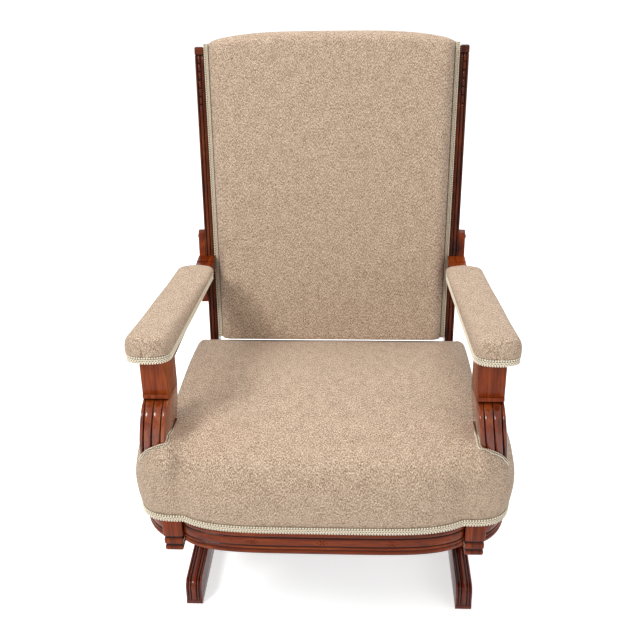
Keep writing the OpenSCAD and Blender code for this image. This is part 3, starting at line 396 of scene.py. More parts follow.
def bump(tree, height, strength, distance):
    return add(tree, "ShaderNodeBump", {"Strength": strength, "Distance": distance, "Height": height})


# ---------------------------------------------------------------- shader groups

def new_group(name, knob, default, outputs):
    """Shader group that takes a vector and one number: the group, its inputs and its output node."""
    g = bpy.data.node_groups.new(name, "ShaderNodeTree")
    g.interface.new_socket(name="Vector", in_out="INPUT", socket_type="NodeSocketVector")
    g.interface.new_socket(name=knob, in_out="INPUT", socket_type="NodeSocketFloat").default_value = default
    for label in outputs:
        g.interface.new_socket(name=label, in_out="OUTPUT", socket_type="NodeSocketFloat")
    return g, g.nodes.new("NodeGroupInput").outputs, g.nodes.new("NodeGroupOutput")


def wood_group():
    """Grain that runs along Z of the vector it is given: tone, pores and height."""
    g, given, out = new_group("wood_grain", "Figure", 1.0, ("Tone", "Pores", "Height"))
    v = given["Vector"]
    sway = noise(g, v, (6, 6, 1.6), 2, 0.5)
    broad = noise(g, v, (60, 60, 3.2), 3, 0.6, 0.6)
    fine = noise(g, v, (420, 420, 14), 2, 0.6)
    dots = ramp(g, noise(g, v, (1100, 1100, 40), 1, 0.5), (0.36, 1.0), (0.46, 0.0))
    tone = plus(g, (sway, 0.3), (broad, 0.5), (fine, 0.2), -0.5)
    fill(g, out, {"Tone": plus(g, (tone, given["Figure"]), 0.5, clamp=True), "Pores": dots,
                  "Height": plus(g, (fine, 0.4), (dots, -0.5))})
    return g


def tweed_group():
    """Heathered tweed on a cloth's own UV map, in metres: tone, hue, brown flecks, pale slubs and height."""
    g, given, out = new_group("tweed_weave", "Thread", 1.5, ("Tone", "Hue", "Flecks", "Slubs", "Height"))
    v = given["Vector"]
    warp = noise(g, v, (1200, 320, 1), 1, 0.5, 0.5)
    weft = noise(g, v, (420, 1350, 1), 1, 0.5, 0.5)
    fine = noise(g, v, (1500, 820, 1), 1, 0.5)
    patch = noise(g, v, (70, 34, 1), 3, 0.6)
    place = add(g, "ShaderNodeSeparateXYZ", {0: v}).outputs
    pitch = calc(g, "DIVIDE", 2 * math.pi * 1000, given["Thread"])
    weave = times(g, *(calc(g, "SINE", times(g, place[k], pitch)) for k in (0, 1)))
    tone = plus(g, (warp, 0.48), (weft, 0.28), (fine, 0.16), (patch, 0.08))
    both = times(g, warp, weft)
    fill(g, out, {"Tone": plus(g, tone, (weave, 0.03), clamp=True), "Hue": noise(g, v, (620, 240, 1), 2, 0.6, 0.5),
                  "Flecks": ramp(g, both, (0.165, 1.0), (0.205, 0.0)), "Slubs": ramp(g, both, (0.30, 0.0), (0.35, 1.0)),
                  "Height": plus(g, (weave, 0.3), tone)})
    return g


# ---------------------------------------------------------------- materials

MATERIALS = {}
COAT = 0.11
UPRIGHT, ALONG, ACROSS = (0, 0, 0), (math.pi / 2, 0, 0), (0, math.pi / 2, 0)
# Kinds of wood: the grain's turn and place, then factors for the red, green and blue of its colours
WOODS = {
    "upright": (UPRIGHT, (0, 0, 0), (1, 1, 1)),
    "stile": (UPRIGHT, (0, 0, 0), (0.62, 0.75, 1.3)),
    "support": (UPRIGHT, (0, 0, 0), (1, 1, 1)),
    # Painted shade: the feet's colours are darker and more purple than the other wood's, for the shade under the seat.
    "foot": (ALONG, (0, 0.5, 0), (0.78, 0.62, 1.2)),
    "across": (ACROSS, (0.3, 0, 0), (1, 1, 1)),
    "along": (ALONG, (0, 0.5, 0), (1, 1, 1)),
}
# Height in metres under which a kind of wood has more polish, and how much more
GLOSS = {"support": (MOULD_Z * MM, 0.62), "foot": (0.09, 0.25)}


def new_material(name):
    m = bpy.data.materials.new(name)
    m.use_nodes = True
    t = m.node_tree
    return m, t, t.nodes["Principled BSDF"], t.nodes.new("ShaderNodeTexCoord").outputs


def wood_material(kind, group, colours):
    """French-polished wood, its grain turned to run along the piece."""
    turn, place, factors = WOODS[kind]
    m, t, bsdf, coord = new_material("polished_wood_" + kind)
    turned_to = add(t, "ShaderNodeMapping", {"Vector": coord["Object"], "Rotation": turn, "Location": place})
    g = add(t, "ShaderNodeGroup", {"Vector": turned_to, "Figure": 1.5}, node_tree=group).outputs
    # Painted shade: the attribute read here darkens the colour towards near black (0.008, 0.0025, 0.002) and adds
    # roughness where grooves, cuts and recesses would lie in shade.
    groove = add(t, "ShaderNodeAttribute", attribute_name="groove").outputs["Fac"]
    colours = [tuple(k * v for k, v in zip(factors, c)) for c in colours]
    tone = ramp(t, g["Tone"], *zip((0.28, 0.52, 0.78), colours))
    pores = mix_colour(t, times(t, g["Pores"], 0.5), tone, (0.012, 0.004, 0.003))
    fill(t, bsdf, {
        "Base Color": mix_colour(t, times(t, groove, 0.93), pores, (0.008, 0.0025, 0.002)),
        "Roughness": plus(t, (g["Pores"], 0.12), (g["Tone"], 0.14), (groove, 0.3), 0.17),
        "Coat Weight": COAT, "Coat Roughness": 0.06, "Specular IOR Level": 0.11,
        "Normal": bump(t, g["Height"], 0.12, 0.0005)})
    if kind in GLOSS:
        height, more = GLOSS[kind]
        z = add(t, "ShaderNodeSeparateXYZ", {0: coord["Object"]}).outputs[2]
        fill(t, bsdf, {"Coat Weight": plus(t, (calc(t, "LESS_THAN", z, height), more), COAT)})
    return m


def tweed_material(name, group):
    m, t, bsdf, coord = new_material(name)
    g = add(t, "ShaderNodeGroup", {"Vector": coord["UV"], "Thread": 1.5}, node_tree=group).outputs
    colour = ramp(t, g["Tone"], (0.435, (0.180, 0.118, 0.077)), (0.5, (0.462, 0.328, 0.226)),
                  (0.565, (0.775, 0.612, 0.463)))
    for share, tint in ((ramp(t, g["Hue"], (0.55, 0.0), (0.75, 0.6)), (0.540, 0.335, 0.245)),
                        (ramp(t, g["Hue"], (0.25, 0.5), (0.45, 0.0)), (0.440, 0.370, 0.215)),
                        (times(t, g["Flecks"], 0.6), (0.190, 0.110, 0.070)),
                        (times(t, g["Slubs"], 0.55), (0.800, 0.660, 0.520))):
        colour = mix_colour(t, share, colour, tint)
    fill(t, bsdf, {"Base Color": colour, "Roughness": 0.92, "Sheen Weight": 0.12, "Sheen Roughness": 0.5,
                   "Specular IOR Level": 0.2, "Normal": bump(t, g["Height"], 0.26, 0.0010)})
    return m


def thread_material(name, colour, shade, scale):
    """Twisted thread for braid, jute and cambric."""
    m, t, bsdf, coord = new_material(name)
    n = noise(t, coord["Object"], scale, 3, 0.6)
    fill(t, bsdf, {"Base Color": mix_colour(t, ramp(t, n, (0.35, 0.0), (0.65, 1.0)), shade, colour),
                   "Roughness": 0.85, "Sheen Weight": 0.1, "Normal": bump(t, n, 0.35, 0.0006)})
    return m


def metal_material(name, colour, shade, metallic, rough, spread, scale, depth):
    m, t, bsdf, coord = new_material(name)
    n = noise(t, coord["Object"], scale, 4, 0.6)
    fill(t, bsdf, {"Base Color": mix_colour(t, n, shade, colour), "Metallic": metallic,
                   "Roughness": plus(t, (n, spread), rough), "Normal": bump(t, n, 0.3, depth)})
    return m


def leather_material(name):
    m, t, bsdf, coord = new_material(name)
    cells = add(t, "ShaderNodeTexVoronoi", {"Scale": 700, "Vector": coord["Object"]}).outputs["Distance"]
    n = noise(t, coord["Object"], 40, 3, 0.6)
    fill(t, bsdf, {"Base Color": mix_colour(t, n, (0.060, 0.028, 0.014), (0.170, 0.085, 0.042)),
                   "Roughness": plus(t, (n, 0.25), 0.45), "Normal": bump(t, cells, 0.3, 0.0004)})
    return m


def make_materials(finish):
    wood = wood_group()
    colours = [tuple(c) for c in (finish.wood_dark, finish.wood_mid, finish.wood_light)]
    for kind in WOODS:
        MATERIALS["wood_" + kind] = wood_material(kind, wood, colours)
    MATERIALS.update(
        tweed=tweed_material("beige_tweed", tweed_group()),
        gimp=thread_material("cream_gimp", tuple(finish.gimp_colour), (0.800, 0.715, 0.550), 900),
        # Painted shade: the braid's ground is far darker than its thread, so the gaps between the loops read as dark
        # lines.
        ground=thread_material("gimp_braid_ground", (0.330, 0.262, 0.172), (0.160, 0.122, 0.078), 700),
        iron=metal_material("black_cast_iron", (0.050, 0.050, 0.053), (0.020, 0.020, 0.021), 0.6, 0.45, 0.2, 260,
                            0.0005),
        steel=metal_material("spring_steel", (0.430, 0.420, 0.400), (0.200, 0.185, 0.170), 1.0, 0.28, 0.2, 120, 0.0001),
        leather=leather_material("track_leather"),
        cambric=thread_material("black_cambric", (0.040, 0.037, 0.034), (0.016, 0.015, 0.014), 1400),
        jute=thread_material("jute_webbing", (0.480, 0.350, 0.190), (0.250, 0.165, 0.080), 900),
    )


# ---------------------------------------------------------------- geometry node trees

def node_tree(name, *sockets):
    """Geometry tree with named inputs: the tree, what it is given and the inputs' identifiers."""
    t = bpy.data.node_groups.new(name, "GeometryNodeTree")
    t.interface.new_socket(name="Geometry", in_out="INPUT", socket_type="NodeSocketGeometry")
    ids = {}
    for label, kind, default in sockets:
        s = t.interface.new_socket(name=label, in_out="INPUT", socket_type="NodeSocket" + kind)
        if default is not None:
            s.default_value = default
        ids[label] = s.identifier
    t.interface.new_socket(name="Geometry", in_out="OUTPUT", socket_type="NodeSocketGeometry")
    return t, t.nodes.new("NodeGroupInput").outputs, ids


def run_tree(obj, made, values):
    """Puts a node tree on an object with its inputs set, and leaves the plain result."""
    tree, ids = made
    mod = obj.modifiers.new(tree.name, "NODES")
    mod.node_group = tree
    for label, value in values.items():
        mod[ids[label]] = value
    return plain(obj)


def named(tree, label, kind="FLOAT"):
    return add(tree, "GeometryNodeInputNamedAttribute", {"Name": label}, data_type=kind)


def joined(tree, *parts):
    n = add(tree, "GeometryNodeJoinGeometry")
    for part in parts:
        tree.links.new(part.outputs[0], n.inputs[0])
    return n


def realized(tree, geometry, material):
    real = add(tree, "GeometryNodeRealizeInstances", {"Geometry": geometry})
    return add(tree, "GeometryNodeSetMaterial", {"Geometry": real, "Material": material})


@cache
def gimp_tree():
    """Braided gimp: a flat ground (row 0), rows of round loops (row 1) and a slanted braid (row 2)."""
    t, given, ids = node_tree(
        "braided_gimp", ("Bead Spacing", "Float", 0.003), ("Bead Radius", "Float", 0.0014),
        ("Braid Spacing", "Float", 0.002), ("Braid Length", "Float", 0.003), ("Slant", "Float", 0.8),
        ("Side", "Vector", None), ("Thread", "Material", None), ("Ground", "Material", None))

    def part(row):
        """The mesh's points of one row number."""
        value = named(t, "row")
        chosen = times(t, calc(t, "GREATER_THAN", value, row - 0.5), calc(t, "LESS_THAN", value, row + 0.5))
        return add(t, "GeometryNodeSeparateGeometry", {"Geometry": given["Geometry"], "Selection": chosen},
                   domain="POINT")

    def even(row, spacing):
        """Evenly spread points along the lines of one row number."""
        line = add(t, "GeometryNodeMeshToCurve", {"Mesh": part(row)})
        return add(t, "GeometryNodeResampleCurve", {"Curve": line, "Length": given[spacing]}, mode="LENGTH")

    flat = add(t, "GeometryNodeSetMaterial", {"Geometry": part(0), "Material": given["Ground"]})
    ball = add(t, "GeometryNodeMeshIcoSphere", {"Radius": given["Bead Radius"], "Subdivisions": 1})
    soft = add(t, "GeometryNodeSetShadeSmooth", {"Geometry": ball})
    beads = add(t, "GeometryNodeInstanceOnPoints",
                {"Points": even(1, "Bead Spacing"), "Instance": soft, "Scale": named(t, "size")})

    strand = add(t, "GeometryNodeTransform", {"Geometry": soft, "Scale": (0.5, 0.5, 1.0)})
    parity = calc(t, "MODULO", add(t, "GeometryNodeInputIndex"), 2.0)
    lean = times(t, calc(t, "SUBTRACT", times(t, parity, 2.0), 1.0), given["Slant"])
    across = add(t, "ShaderNodeVectorMath", {0: given["Side"], "Scale": lean}, operation="SCALE")
    slant = add(t, "ShaderNodeVectorMath", {0: add(t, "GeometryNodeInputTangent"), 1: across}, operation="ADD")
    turn = add(t, "FunctionNodeAlignRotationToVector", {"Vector": slant}, axis="Z")
    long = calc(t, "DIVIDE", given["Braid Length"], given["Bead Radius"])
    size = add(t, "ShaderNodeCombineXYZ", {"X": 1.0, "Y": 1.0, "Z": long})
    braid = add(t, "GeometryNodeInstanceOnPoints",
                {"Points": even(2, "Braid Spacing"), "Instance": strand, "Rotation": turn, "Scale": size})
    threads = realized(t, joined(t, braid, beads), given["Thread"])
    add(t, "NodeGroupOutput", {0: joined(t, flat, threads)})
    return t, ids


@cache
def coil_tree():
    """Round wire along every polyline of the mesh."""
    t, given, ids = node_tree("spring_wire", ("Wire Radius", "Float", 0.0025), ("Sides", "Int", 10),
                              ("Wire", "Material", None))
    line = add(t, "GeometryNodeMeshToCurve", {"Mesh": given["Geometry"]})
    ring = add(t, "GeometryNodeCurvePrimitiveCircle", {"Radius": given["Wire Radius"], "Resolution": given["Sides"]})
    tube = add(t, "GeometryNodeCurveToMesh", {"Curve": line, "Profile Curve": ring, "Fill Caps": True})
    soft = add(t, "GeometryNodeSetShadeSmooth", {"Geometry": tube})
    add(t, "NodeGroupOutput", {0: realized(t, soft, given["Wire"])})
    return t, ids


@cache
def heads_tree():
    """A small fastener on every point of the mesh, turned to the point's own facing."""
    t, given, ids = node_tree("fastener_heads", ("Head", "Object", None), ("Metal", "Material", None))
    head = add(t, "GeometryNodeObjectInfo", {"Object": given["Head"], "As Instance": False}).outputs["Geometry"]
    turn = add(t, "FunctionNodeAlignRotationToVector", {"Vector": named(t, "facing", "FLOAT_VECTOR")}, axis="Z")
    heads = add(t, "GeometryNodeInstanceOnPoints", {"Points": given["Geometry"], "Instance": head, "Rotation": turn})
    add(t, "NodeGroupOutput", {0: realized(t, heads, given["Metal"])})
    return t, ids


# ---------------------------------------------------------------- seat

def seat_half(o, rear_y):
    side = SIDE_OUT_X + CLOTH_OUT + o
    rx = HALF_W - GIMP_T - SOFT_GAP - EAR_CX
    ry = EAR_CY - BLOCK_Y + CLOTH_OUT
    pts = [(BOW_HALF * k, bow_at(BOW_HALF * k) - CLOTH_OUT - o)
           for k in list(np.linspace(0, 0.9, 40)) + list(np.linspace(0.91, 0.985, 8))]
    pts += ear_line(rx + o, ry + o, side, EAR_BACK + o, 0.625, EAR_CX)
    start = EAR_CY + EAR_BACK
    pts += [(side, start + (rear_y - 8 - start) * k) for k in np.linspace(0.05, 0.97, 18)]
    pts += [(side - 8 * (1 - math.cos(a)), rear_y - 8 + 8 * math.sin(a))
            for a in np.linspace(0, math.pi / 2, 8)]
    pts += [(side * k, rear_y) for k in np.linspace(0.85, 0, 14)]
    return pts


def seat_plan(o, count):
    """Whole outline of the seat, from the middle of its front round the right side and back."""
    half = resample(seat_half(o, BACK_FOOT_Y), count // 2 + 1)
    if o < 0:
        near = resample(seat_half(o * 0.4, BACK_FOOT_Y), count // 2 + 1)
        half = half + (near - half) * np.clip((np.abs(half[:, :1]) - 200) / 45, 0, 1)
    return eased(np.vstack([half, mirrored(half[1:-1])[::-1]]), 2, closed=True)


# Rows of the cloth's side: share of its height, inset in 20 mm; then of its top: share of the plan, of the crown
SEAT_INSET = 20.0
SEAT_SIDE_ROWS = [(0.16, 0.06), (0.32, 0.13), (0.52, 0.12), (0.7, -0.05), (0.84, -0.38), (0.94, -0.9), (1.0, -1.8)]
SEAT_TOP_ROWS = [(0.82, 0.42), (0.6, 0.78), (0.33, 0.96), (0.12, 0.995), (0.02, 1.0)]


def seat_z(z, y):
    drop = SEAT_REAR_DROP * (max(0.0, y - SEAT_MID_Y) / (BACK_FOOT_Y - SEAT_MID_Y)) ** 2
    return z - drop * max(0.0, z - SEAT_SIDE_Z) / (SEAT_FRONT_Z - SEAT_SIDE_Z)


def seat_row(z, o, count):
    out = []
    for x, y in seat_plan(o, count):
        zz = seat_z(z, y)
        if y > BACK_FOOT_Y - 23:
            y = y - BACK_FOOT_Y + back_plane_y(zz) - 0.5 + min(0.0, o) / 3
        out.append((x, y, zz))
    return np.array(out)


def seat_surface(count, per):
    """Rows of points from the seat's lower edge to near the middle of its top, and the shoulder's row."""
    controls = [seat_row(RAIL_TOP + SOFT_GAP, 0, count), seat_row(SEAT_SIDE_Z, 0, count)]
    controls += [seat_row(RAIL_TOP + h * (SEAT_FRONT_Z - RAIL_TOP), o * SEAT_INSET, count) for h, o in SEAT_SIDE_ROWS]
    edge = (len(controls) - 1) * per
    shoulder = controls[-1]
    for k, rise in SEAT_TOP_ROWS:
        row = shoulder.copy()
        row[:, 0] *= k
        row[:, 1] = SEAT_MID_Y + (row[:, 1] - SEAT_MID_Y) * k
        row[:, 2] = row[:, 2] * k + (1 - k) * SEAT_FRONT_Z + SEAT_CROWN * rise
        controls.append(row)
    rows = smooth_curve(np.array(controls).reshape(len(controls), -1), per).reshape(-1, count, 3)
    return rows, edge


def seat_uv(rows, edge):
    """Cloth laid flat over the top and run down the sides square to the edge."""
    uv = rows[:, :, :2].copy()
    normal = outward(eased(rows[edge][:, :2], 260, closed=True), closed=True)
    run = np.zeros(rows.shape[1])
    for r in range(edge - 1, -1, -1):
        run = run + np.linalg.norm(rows[r] - rows[r + 1], axis=1)
        uv[r] = rows[edge][:, :2] + normal * run[:, None]
    return uv


def seat_creases(rows):
    """Small pulls of the cloth: pleats at the ears, fullness at the supports' feet, slack at the back."""
    x, y, z = rows[..., 0], rows[..., 1], rows[..., 2]
    out = np.zeros(x.shape)
    low = np.clip((SEAT_FRONT_Z - z) / (SEAT_FRONT_Z - SEAT_SIDE_Z), 0, 1)
    for side in (-1, 1):
        sx = side * x
        front = (y < -270)
        out -= 1.3 * wave(sx, 243 + (1 - low) * 12, 4.5) * wave(low, 0.78, 0.34) * front
        out += 0.7 * wave(sx, 252 + (1 - low) * 14, 6.0) * wave(low, 0.78, 0.34) * front
        out -= 0.8 * wave(sx, 262 + (1 - low) * 10, 4.0) * wave(low, 0.85, 0.25) * front
        top = np.clip((z - 405) / 30, 0, 1)
        out += EAR_FULL * np.exp(-((sx - 247) / 20) ** 2 - ((y + 306) / 33) ** 2) * top
        out += 0.3 * EAR_FULL * np.exp(-((sx - 282) / 22) ** 2 - ((y + 318) / 24) ** 2) * top
        out += 5.0 * np.clip((sx - 262) / 36, 0, 1) * wave(low, 0.55, 0.42) * (y < -150)
        out -= 0.9 * wave(sx, 232, 7) * wave(y, -262, 34) * top
    out -= 2.0 * wave(y, BACK_FOOT_Y - 4, 12) * (z > 400)
    out += 0.7 * np.sin(x / 41.0 + 0.7) * np.sin(y / 53.0 + 0.3) * (1 - low)
    return out


def build_seat(sizes):
    rows, edge = seat_surface(360, 5)
    normal = np.cross(np.roll(rows, -1, axis=1) - np.roll(rows, 1, axis=1), np.gradient(rows, axis=0))
    normal /= np.linalg.norm(normal, axis=2)[..., None] + 1e-9
    rows = rows + normal * (seat_creases(rows) * sizes.crease_depth)[..., None]
    uv = np.vstack([seat_uv(rows, edge).reshape(-1, 2), [[0, SEAT_MID_Y]] * 2])
    tips = [(0, SEAT_MID_Y, z) for z in (RAIL_TOP + SOFT_GAP, SEAT_FRONT_Z + SEAT_CROWN)]
    obj = add_object("seat_upholstery", *shell(rows, tips), uvs=uv)
    for mirror in (False, True):
        cut_out(obj, post_pocket(mirror))
    sharpen(obj, 60)
    finish_piece(obj, "tweed", "seat_cushion")
    return obj


# ---------------------------------------------------------------- arm supports

# Rows down a support's bulge: share of the height left, of the bulge forward and of the drift outward
BULGE = [(1, 0.34, 1), (0.75, 0.42, 1), (0.56, 0.56, 1), (0.43, 0.73, 0.95), (0.33, 0.92, 0.72), (0.22, 1, 0.42),
         (0.14, 0.94, 0.22), (0.075, 0.75, 0.1), (0.03, 0.46, 0.03), (0.008, 0.15, 0)]


def post_rows(per):
    return smooth_curve(BULGE, per)


def post_pocket(mirror):
    """Shape of a support's foot with 0.4 mm round it, from just below the seat's cloth."""
    gap, rings = 0.4, []
    for low, swell, drift in np.vstack([[1 + 1 / RAIL_H, BULGE[0][1], 1], BULGE]):
        x, w = POST_X + POST_DRIFT * drift - gap, POST_W + 2 * gap
        f, r = -POST_FRONT - POST_BULGE * swell - gap, POST_REAR + POST_HEEL * low + gap
        z = MOULD_Z - low * (MOULD_Z - RAIL_TOP)
        rings.append([(x + w - POST_TOE, r, z), (x - POST_TOE, r, z), (x, f, z), (x + w, f, z)])
    return lofted("pocket_cut", rings, mirror=mirror)


# Edges of the reeds across a support from its inner side, at its moulding and at its bulge
REED_TOP = (0.0, 0.21, 0.555, 0.90, 1.0)
REED_LOW = (0.0, 0.19, 0.53, 0.845, 1.0)


def reed_outline(swell):
    """Flat reeds with rounded edges across a support's face: share of its width, depth and painted groove shade."""
    cut = [a + (b - a) * swell for a, b in zip(REED_TOP, REED_LOW)]
    out = []
    for k in range(4):
        u0, u1 = cut[k], cut[k + 1]
        gap0, gap1 = (0.0 if k == 0 else 0.014), (0.0 if k == 3 else 0.014)
        for e in (-1, -0.97, -0.9, -0.78, -0.6, -0.35, 0, 0.35, 0.6, 0.78, 0.9, 0.97, 1):
            u = u0 + gap0 + (u1 - gap1 - u0 - gap0) * (e + 1) / 2
            outer = k == 0 and e < 0 or k == 3 and e > 0
            depth = (0.55 if outer else 0.42) * abs(e) ** 6 + 0.10 * e * e
            # Painted shade: 0.75 on a reed's edges next to a groove.
            out.append((u, depth, 0.0 if outer or abs(e) < 0.95 else 0.75))
        if k < 3:
            # Painted shade: full in the grooves between the reeds.
            out.append((u1 - 0.009, 0.92, 1.0))
            out.append((u1, 1.0, 1.0))
            out.append((u1 + 0.009, 0.92, 1.0))
    return out


REED_DEPTH = 4.6
# Moulding over the reeds: rise, inset of the sides, place of the face behind the plain one's, painted groove shade
POST_MOULD = [(0.2, 0.3, 2.2, 1.0), (1.5, 0.3, 2.2, 1.0), (1.8, 0, -1.0, 0.2), (2.6, 0, -2.0, 0), (5.2, 0, -2.3, 0),
              (8.4, 0, -2.0, 0), (9.4, 0, -1.2, 0.1), (9.9, 0.1, 0.5, 0.45), (10.8, 0, 0, 0)]


def post_ring(x, w, front, rear, z, swell, reeded=True):
    """Section of a support: rounded rear corners, then the face from its inner to its outer side."""
    ease = 1.6
    ring, shade = [], []
    for cx, a0 in ((x + w - POST_TOE - ease, 0), (x - POST_TOE + ease, 90)):
        for a in (0, 30, 60, 90):
            r = math.radians(a0 + a)
            ring.append((cx + ease * math.cos(r), rear - ease + ease * math.sin(r), z))
            shade.append(0.0)
    for u, d, g in reed_outline(swell):
        round_off = 0.0 if reeded else max(0.0, 1.4 - min(u, 1 - u) * w) ** 2 * 0.5
        ring.append((x + w * u, front + d * REED_DEPTH * reeded + round_off, z))
        shade.append(g * reeded)
    return ring, shade


def build_support(side):
    rings, shades = [], []
    for low, swell, drift in post_rows(7):
        ring, shade = post_ring(POST_X + POST_DRIFT * drift, POST_W, -POST_FRONT - POST_BULGE * swell,
                                POST_REAR + POST_HEEL * low, MOULD_Z - low * (MOULD_Z - RAIL_TOP),
                                min(1.0, swell * 1.1))
        rings.append(ring)
        shades.append(shade)
    for rise, inset, back, dark in POST_MOULD + [((ARM_Z - MOULD_Z) / 2, 0, 0, 0), (ARM_Z - MOULD_Z, 0, 0, 0)]:
        ring, shade = post_ring(POST_X + inset, POST_W - 2 * inset, -POST_FRONT + back, POST_REAR - inset,
                                MOULD_Z + rise, 0.0, reeded=False)
        rings.append(ring)
        shades.append([dark] * len(shade))
    rings[-1] = [(x, y, arm_top(y) - 0.05) for x, y, _ in rings[-1]]
    obj = lofted("arm_support_scroll_" + side, rings, groove=shades, mirror=side == "left")
    return finish_piece(obj, "wood_support", "arm_support_" + side)


# ---------------------------------------------------------------- back

def back_front(d):
    """How far behind the back's front plane the cloth is at a distance d from its side."""
    if d >= BACK_ROUND:
        return -BACK_PROUD
    return 2.3 - (BACK_PROUD + 2.3) * math.sqrt(1 - (1 - d / BACK_ROUND) ** 2)


def back_section(u, f):
    """Side outline of the back at a share u of its half width, its front at f: depth and height up the stiles."""
    top = STILE_RISE + BACK_ARCH - 21.0 * abs(u) ** 3.6
    seat = BACK_SEAT_S + SOFT_GAP
    rear = BACK_REAR_Y - SOFT_GAP
    r = min(26.0, (39.5 - f) / 2 - 1)
    crown = 5.0 * (1 - u * u) if f < 0 else 0.0
    drop = BACK_LOW_S + (rear - f) * 0.05
    pts = [(rear, BACK_LOW_S), (rear, seat), (38.5, seat)]
    pts += [(24.5 + 15 * c, top - 15 + 15 * s) for c, s in arc(0, 90, 9)]
    pts += [(f + r + r * c, top - r + r * s) for c, s in arc(90, 180, 15)]
    pts += [(f - crown * math.sin(math.pi * k), drop + (top - r - drop) * k) for k in np.linspace(1, 0, 60)[1:-1]]
    pts += [(f + (rear - f) * 0.2 * (1 - c), drop - (drop - BACK_LOW_S - 0.3) * s) for c, s in arc(0, 90, 9)]
    return pts


def build_back(sizes):
    half = stile_in(STILE_RISE / 2) - 0.5
    steps = [*np.linspace(0, 3, 5), *np.linspace(4, 25, 15), *np.linspace(32, half - 10, 30)]
    rows = [(1.0, 2.3)] + [((half - 10 - d) / half, back_front(d)) for d in steps]
    rings, uvs = [], []
    for u, f in [(-u, f) for u, f in rows] + rows[-2::-1]:
        sec = np.array(back_section(u, f))
        x = np.array([u * (stile_in(s) - 0.5) for s in sec[:, 1]])
        lean = wave(sec[:, 1], 20, 26) * 0.6 + wave(sec[:, 1], 560, 40) * 0.4
        fade = max(0.0, 1 - abs(u) ** 8) if f < 0 else 0.0
        ripple = (np.sin(x / 29 + 1.1) * lean + 0.5 * np.sin(sec[:, 1] / 61 + 2 * u)) * sizes.crease_depth * fade
        y = sec[:, 0] + ripple * np.clip((4 - sec[:, 0]) / 8, 0, 1)
        run = np.concatenate([[0], np.cumsum(np.linalg.norm(np.diff(sec, axis=0), axis=1))])
        rings.append([from_back(*place) for place in zip(x, y, sec[:, 1])])
        uvs.append(np.stack([x, -run], axis=1))
    verts, faces = shell(rings, flat=True)
    obj = add_object("back_upholstery", verts, [f[::-1] for f in faces], uvs=np.array(uvs).reshape(-1, 2))
    outward_faces(obj)
    sharpen(obj, 55)
    finish_piece(obj, "tweed", "back_cushion")
    return obj


# ---------------------------------------------------------------- arm pads

def pad_end(t, depth):
    return (1 - (1 - min(1.0, max(0.0, t) / depth)) ** PAD_POWER) ** (1 / PAD_POWER)


def pad_half(t, o):
    return ((PAD_HALF_W - PAD_TAPER * t / PAD_LEN + o) * pad_end(t + o, PAD_NOSE + o)
            * pad_end(PAD_LEN + o - t, PAD_TAIL + o))


def pad_place(t, o):
    return t + o * (2 * t / PAD_LEN - 1)


def pad_height(t):
    return ((PAD_REAR_H + (PAD_H - PAD_REAR_H) * (1 - t / PAD_LEN) ** 1.15)
            * (0.8 + 0.2 * pad_end(t, PAD_NOSE)))


def pad_stations(count):
    ends = [PAD_NOSE * k for k in (0.004, 0.015, 0.04, 0.08, 0.14, 0.22, 0.32, 0.44, 0.58, 0.74, 0.9)]
    tail = [PAD_LEN - PAD_TAIL * k for k in (0.95, 0.8, 0.62, 0.45, 0.3, 0.18, 0.09, 0.03, 0.006)]
    return ends + list(np.linspace(PAD_NOSE + 2, PAD_LEN - PAD_TAIL - 2, count)) + tail


# Share of a pad's half width and of its height above the gimp, from the gimp to the middle of its top
PAD_CROWN = [(1.0, 0.02), (1.012, 0.14), (1.014, 0.3), (1.0, 0.46), (0.965, 0.62), (0.9, 0.76), (0.8, 0.87),
             (0.66, 0.94), (0.5, 0.975), (0.33, 0.99), (0.16, 0.998), (0, 1)]


def build_pad(side, sizes):
    """Stuffed cover: an even crown over the arm, its cloth meeting the outer face of the gimp."""
    inner = GIMP_T + SOFT_GAP
    g = PAD_GIMP_H + SOFT_GAP
    crown = smooth_curve(PAD_CROWN, 2)
    rings, uvs = [], []
    for t in pad_stations(60):
        low = pad_place(t, -inner)
        b, w, h = pad_half(low, -inner), pad_half(t, 0), pad_height(t)
        slope = (pad_half(t + 0.2, 0) - pad_half(max(0.02, t - 0.2), 0)) / 0.4
        nx, ny = 1 / math.hypot(1, slope), -slope / math.hypot(1, slope)
        half = [(0, low, 0), (b * 0.5, low, 0), (b, low, 0), (b, low, g * 0.5), (b, low, g - 0.4)]
        under = len(half)
        half += [(w * a, t, g + (h - g) * c) for a, c in crown]
        place = [(0.0, t)] * len(half)
        run = 0.0
        for k in range(len(half) - 2, under - 1, -1):
            keep = min(1.0, 4 * (1 - crown[k - under][1]))
            run += math.dist(half[k], half[k + 1]) * keep
            place[k] = (half[k][0] + nx * run * keep, t + ny * run * keep)
        for k in range(under - 1, -1, -1):
            place[k] = (place[k + 1][0] + nx, place[k + 1][1] + ny)
        ring = [(-x, y, z) for x, y, z in half] + half[-2:0:-1]
        soft = [0.5 * sizes.crease_depth * math.sin(y / 27 + x / 60) * (z > g + 6) for x, y, z in ring]
        rings.append([from_arm(arm_mid(y) + x, y, z + SOFT_GAP + d) for (x, y, z), d in zip(ring, soft)])
        uvs += [(-u, v) for u, v in place] + place[-2:0:-1]
    obj = add_object("arm_pad_cover_" + side, *shell(rings, flat=True), uvs=uvs, mirror=side == "left")
    outward_faces(obj)
    sharpen(obj, 60)
    finish_piece(obj, "tweed", "arm_pad_" + side)
    return obj


# ---------------------------------------------------------------- gimp

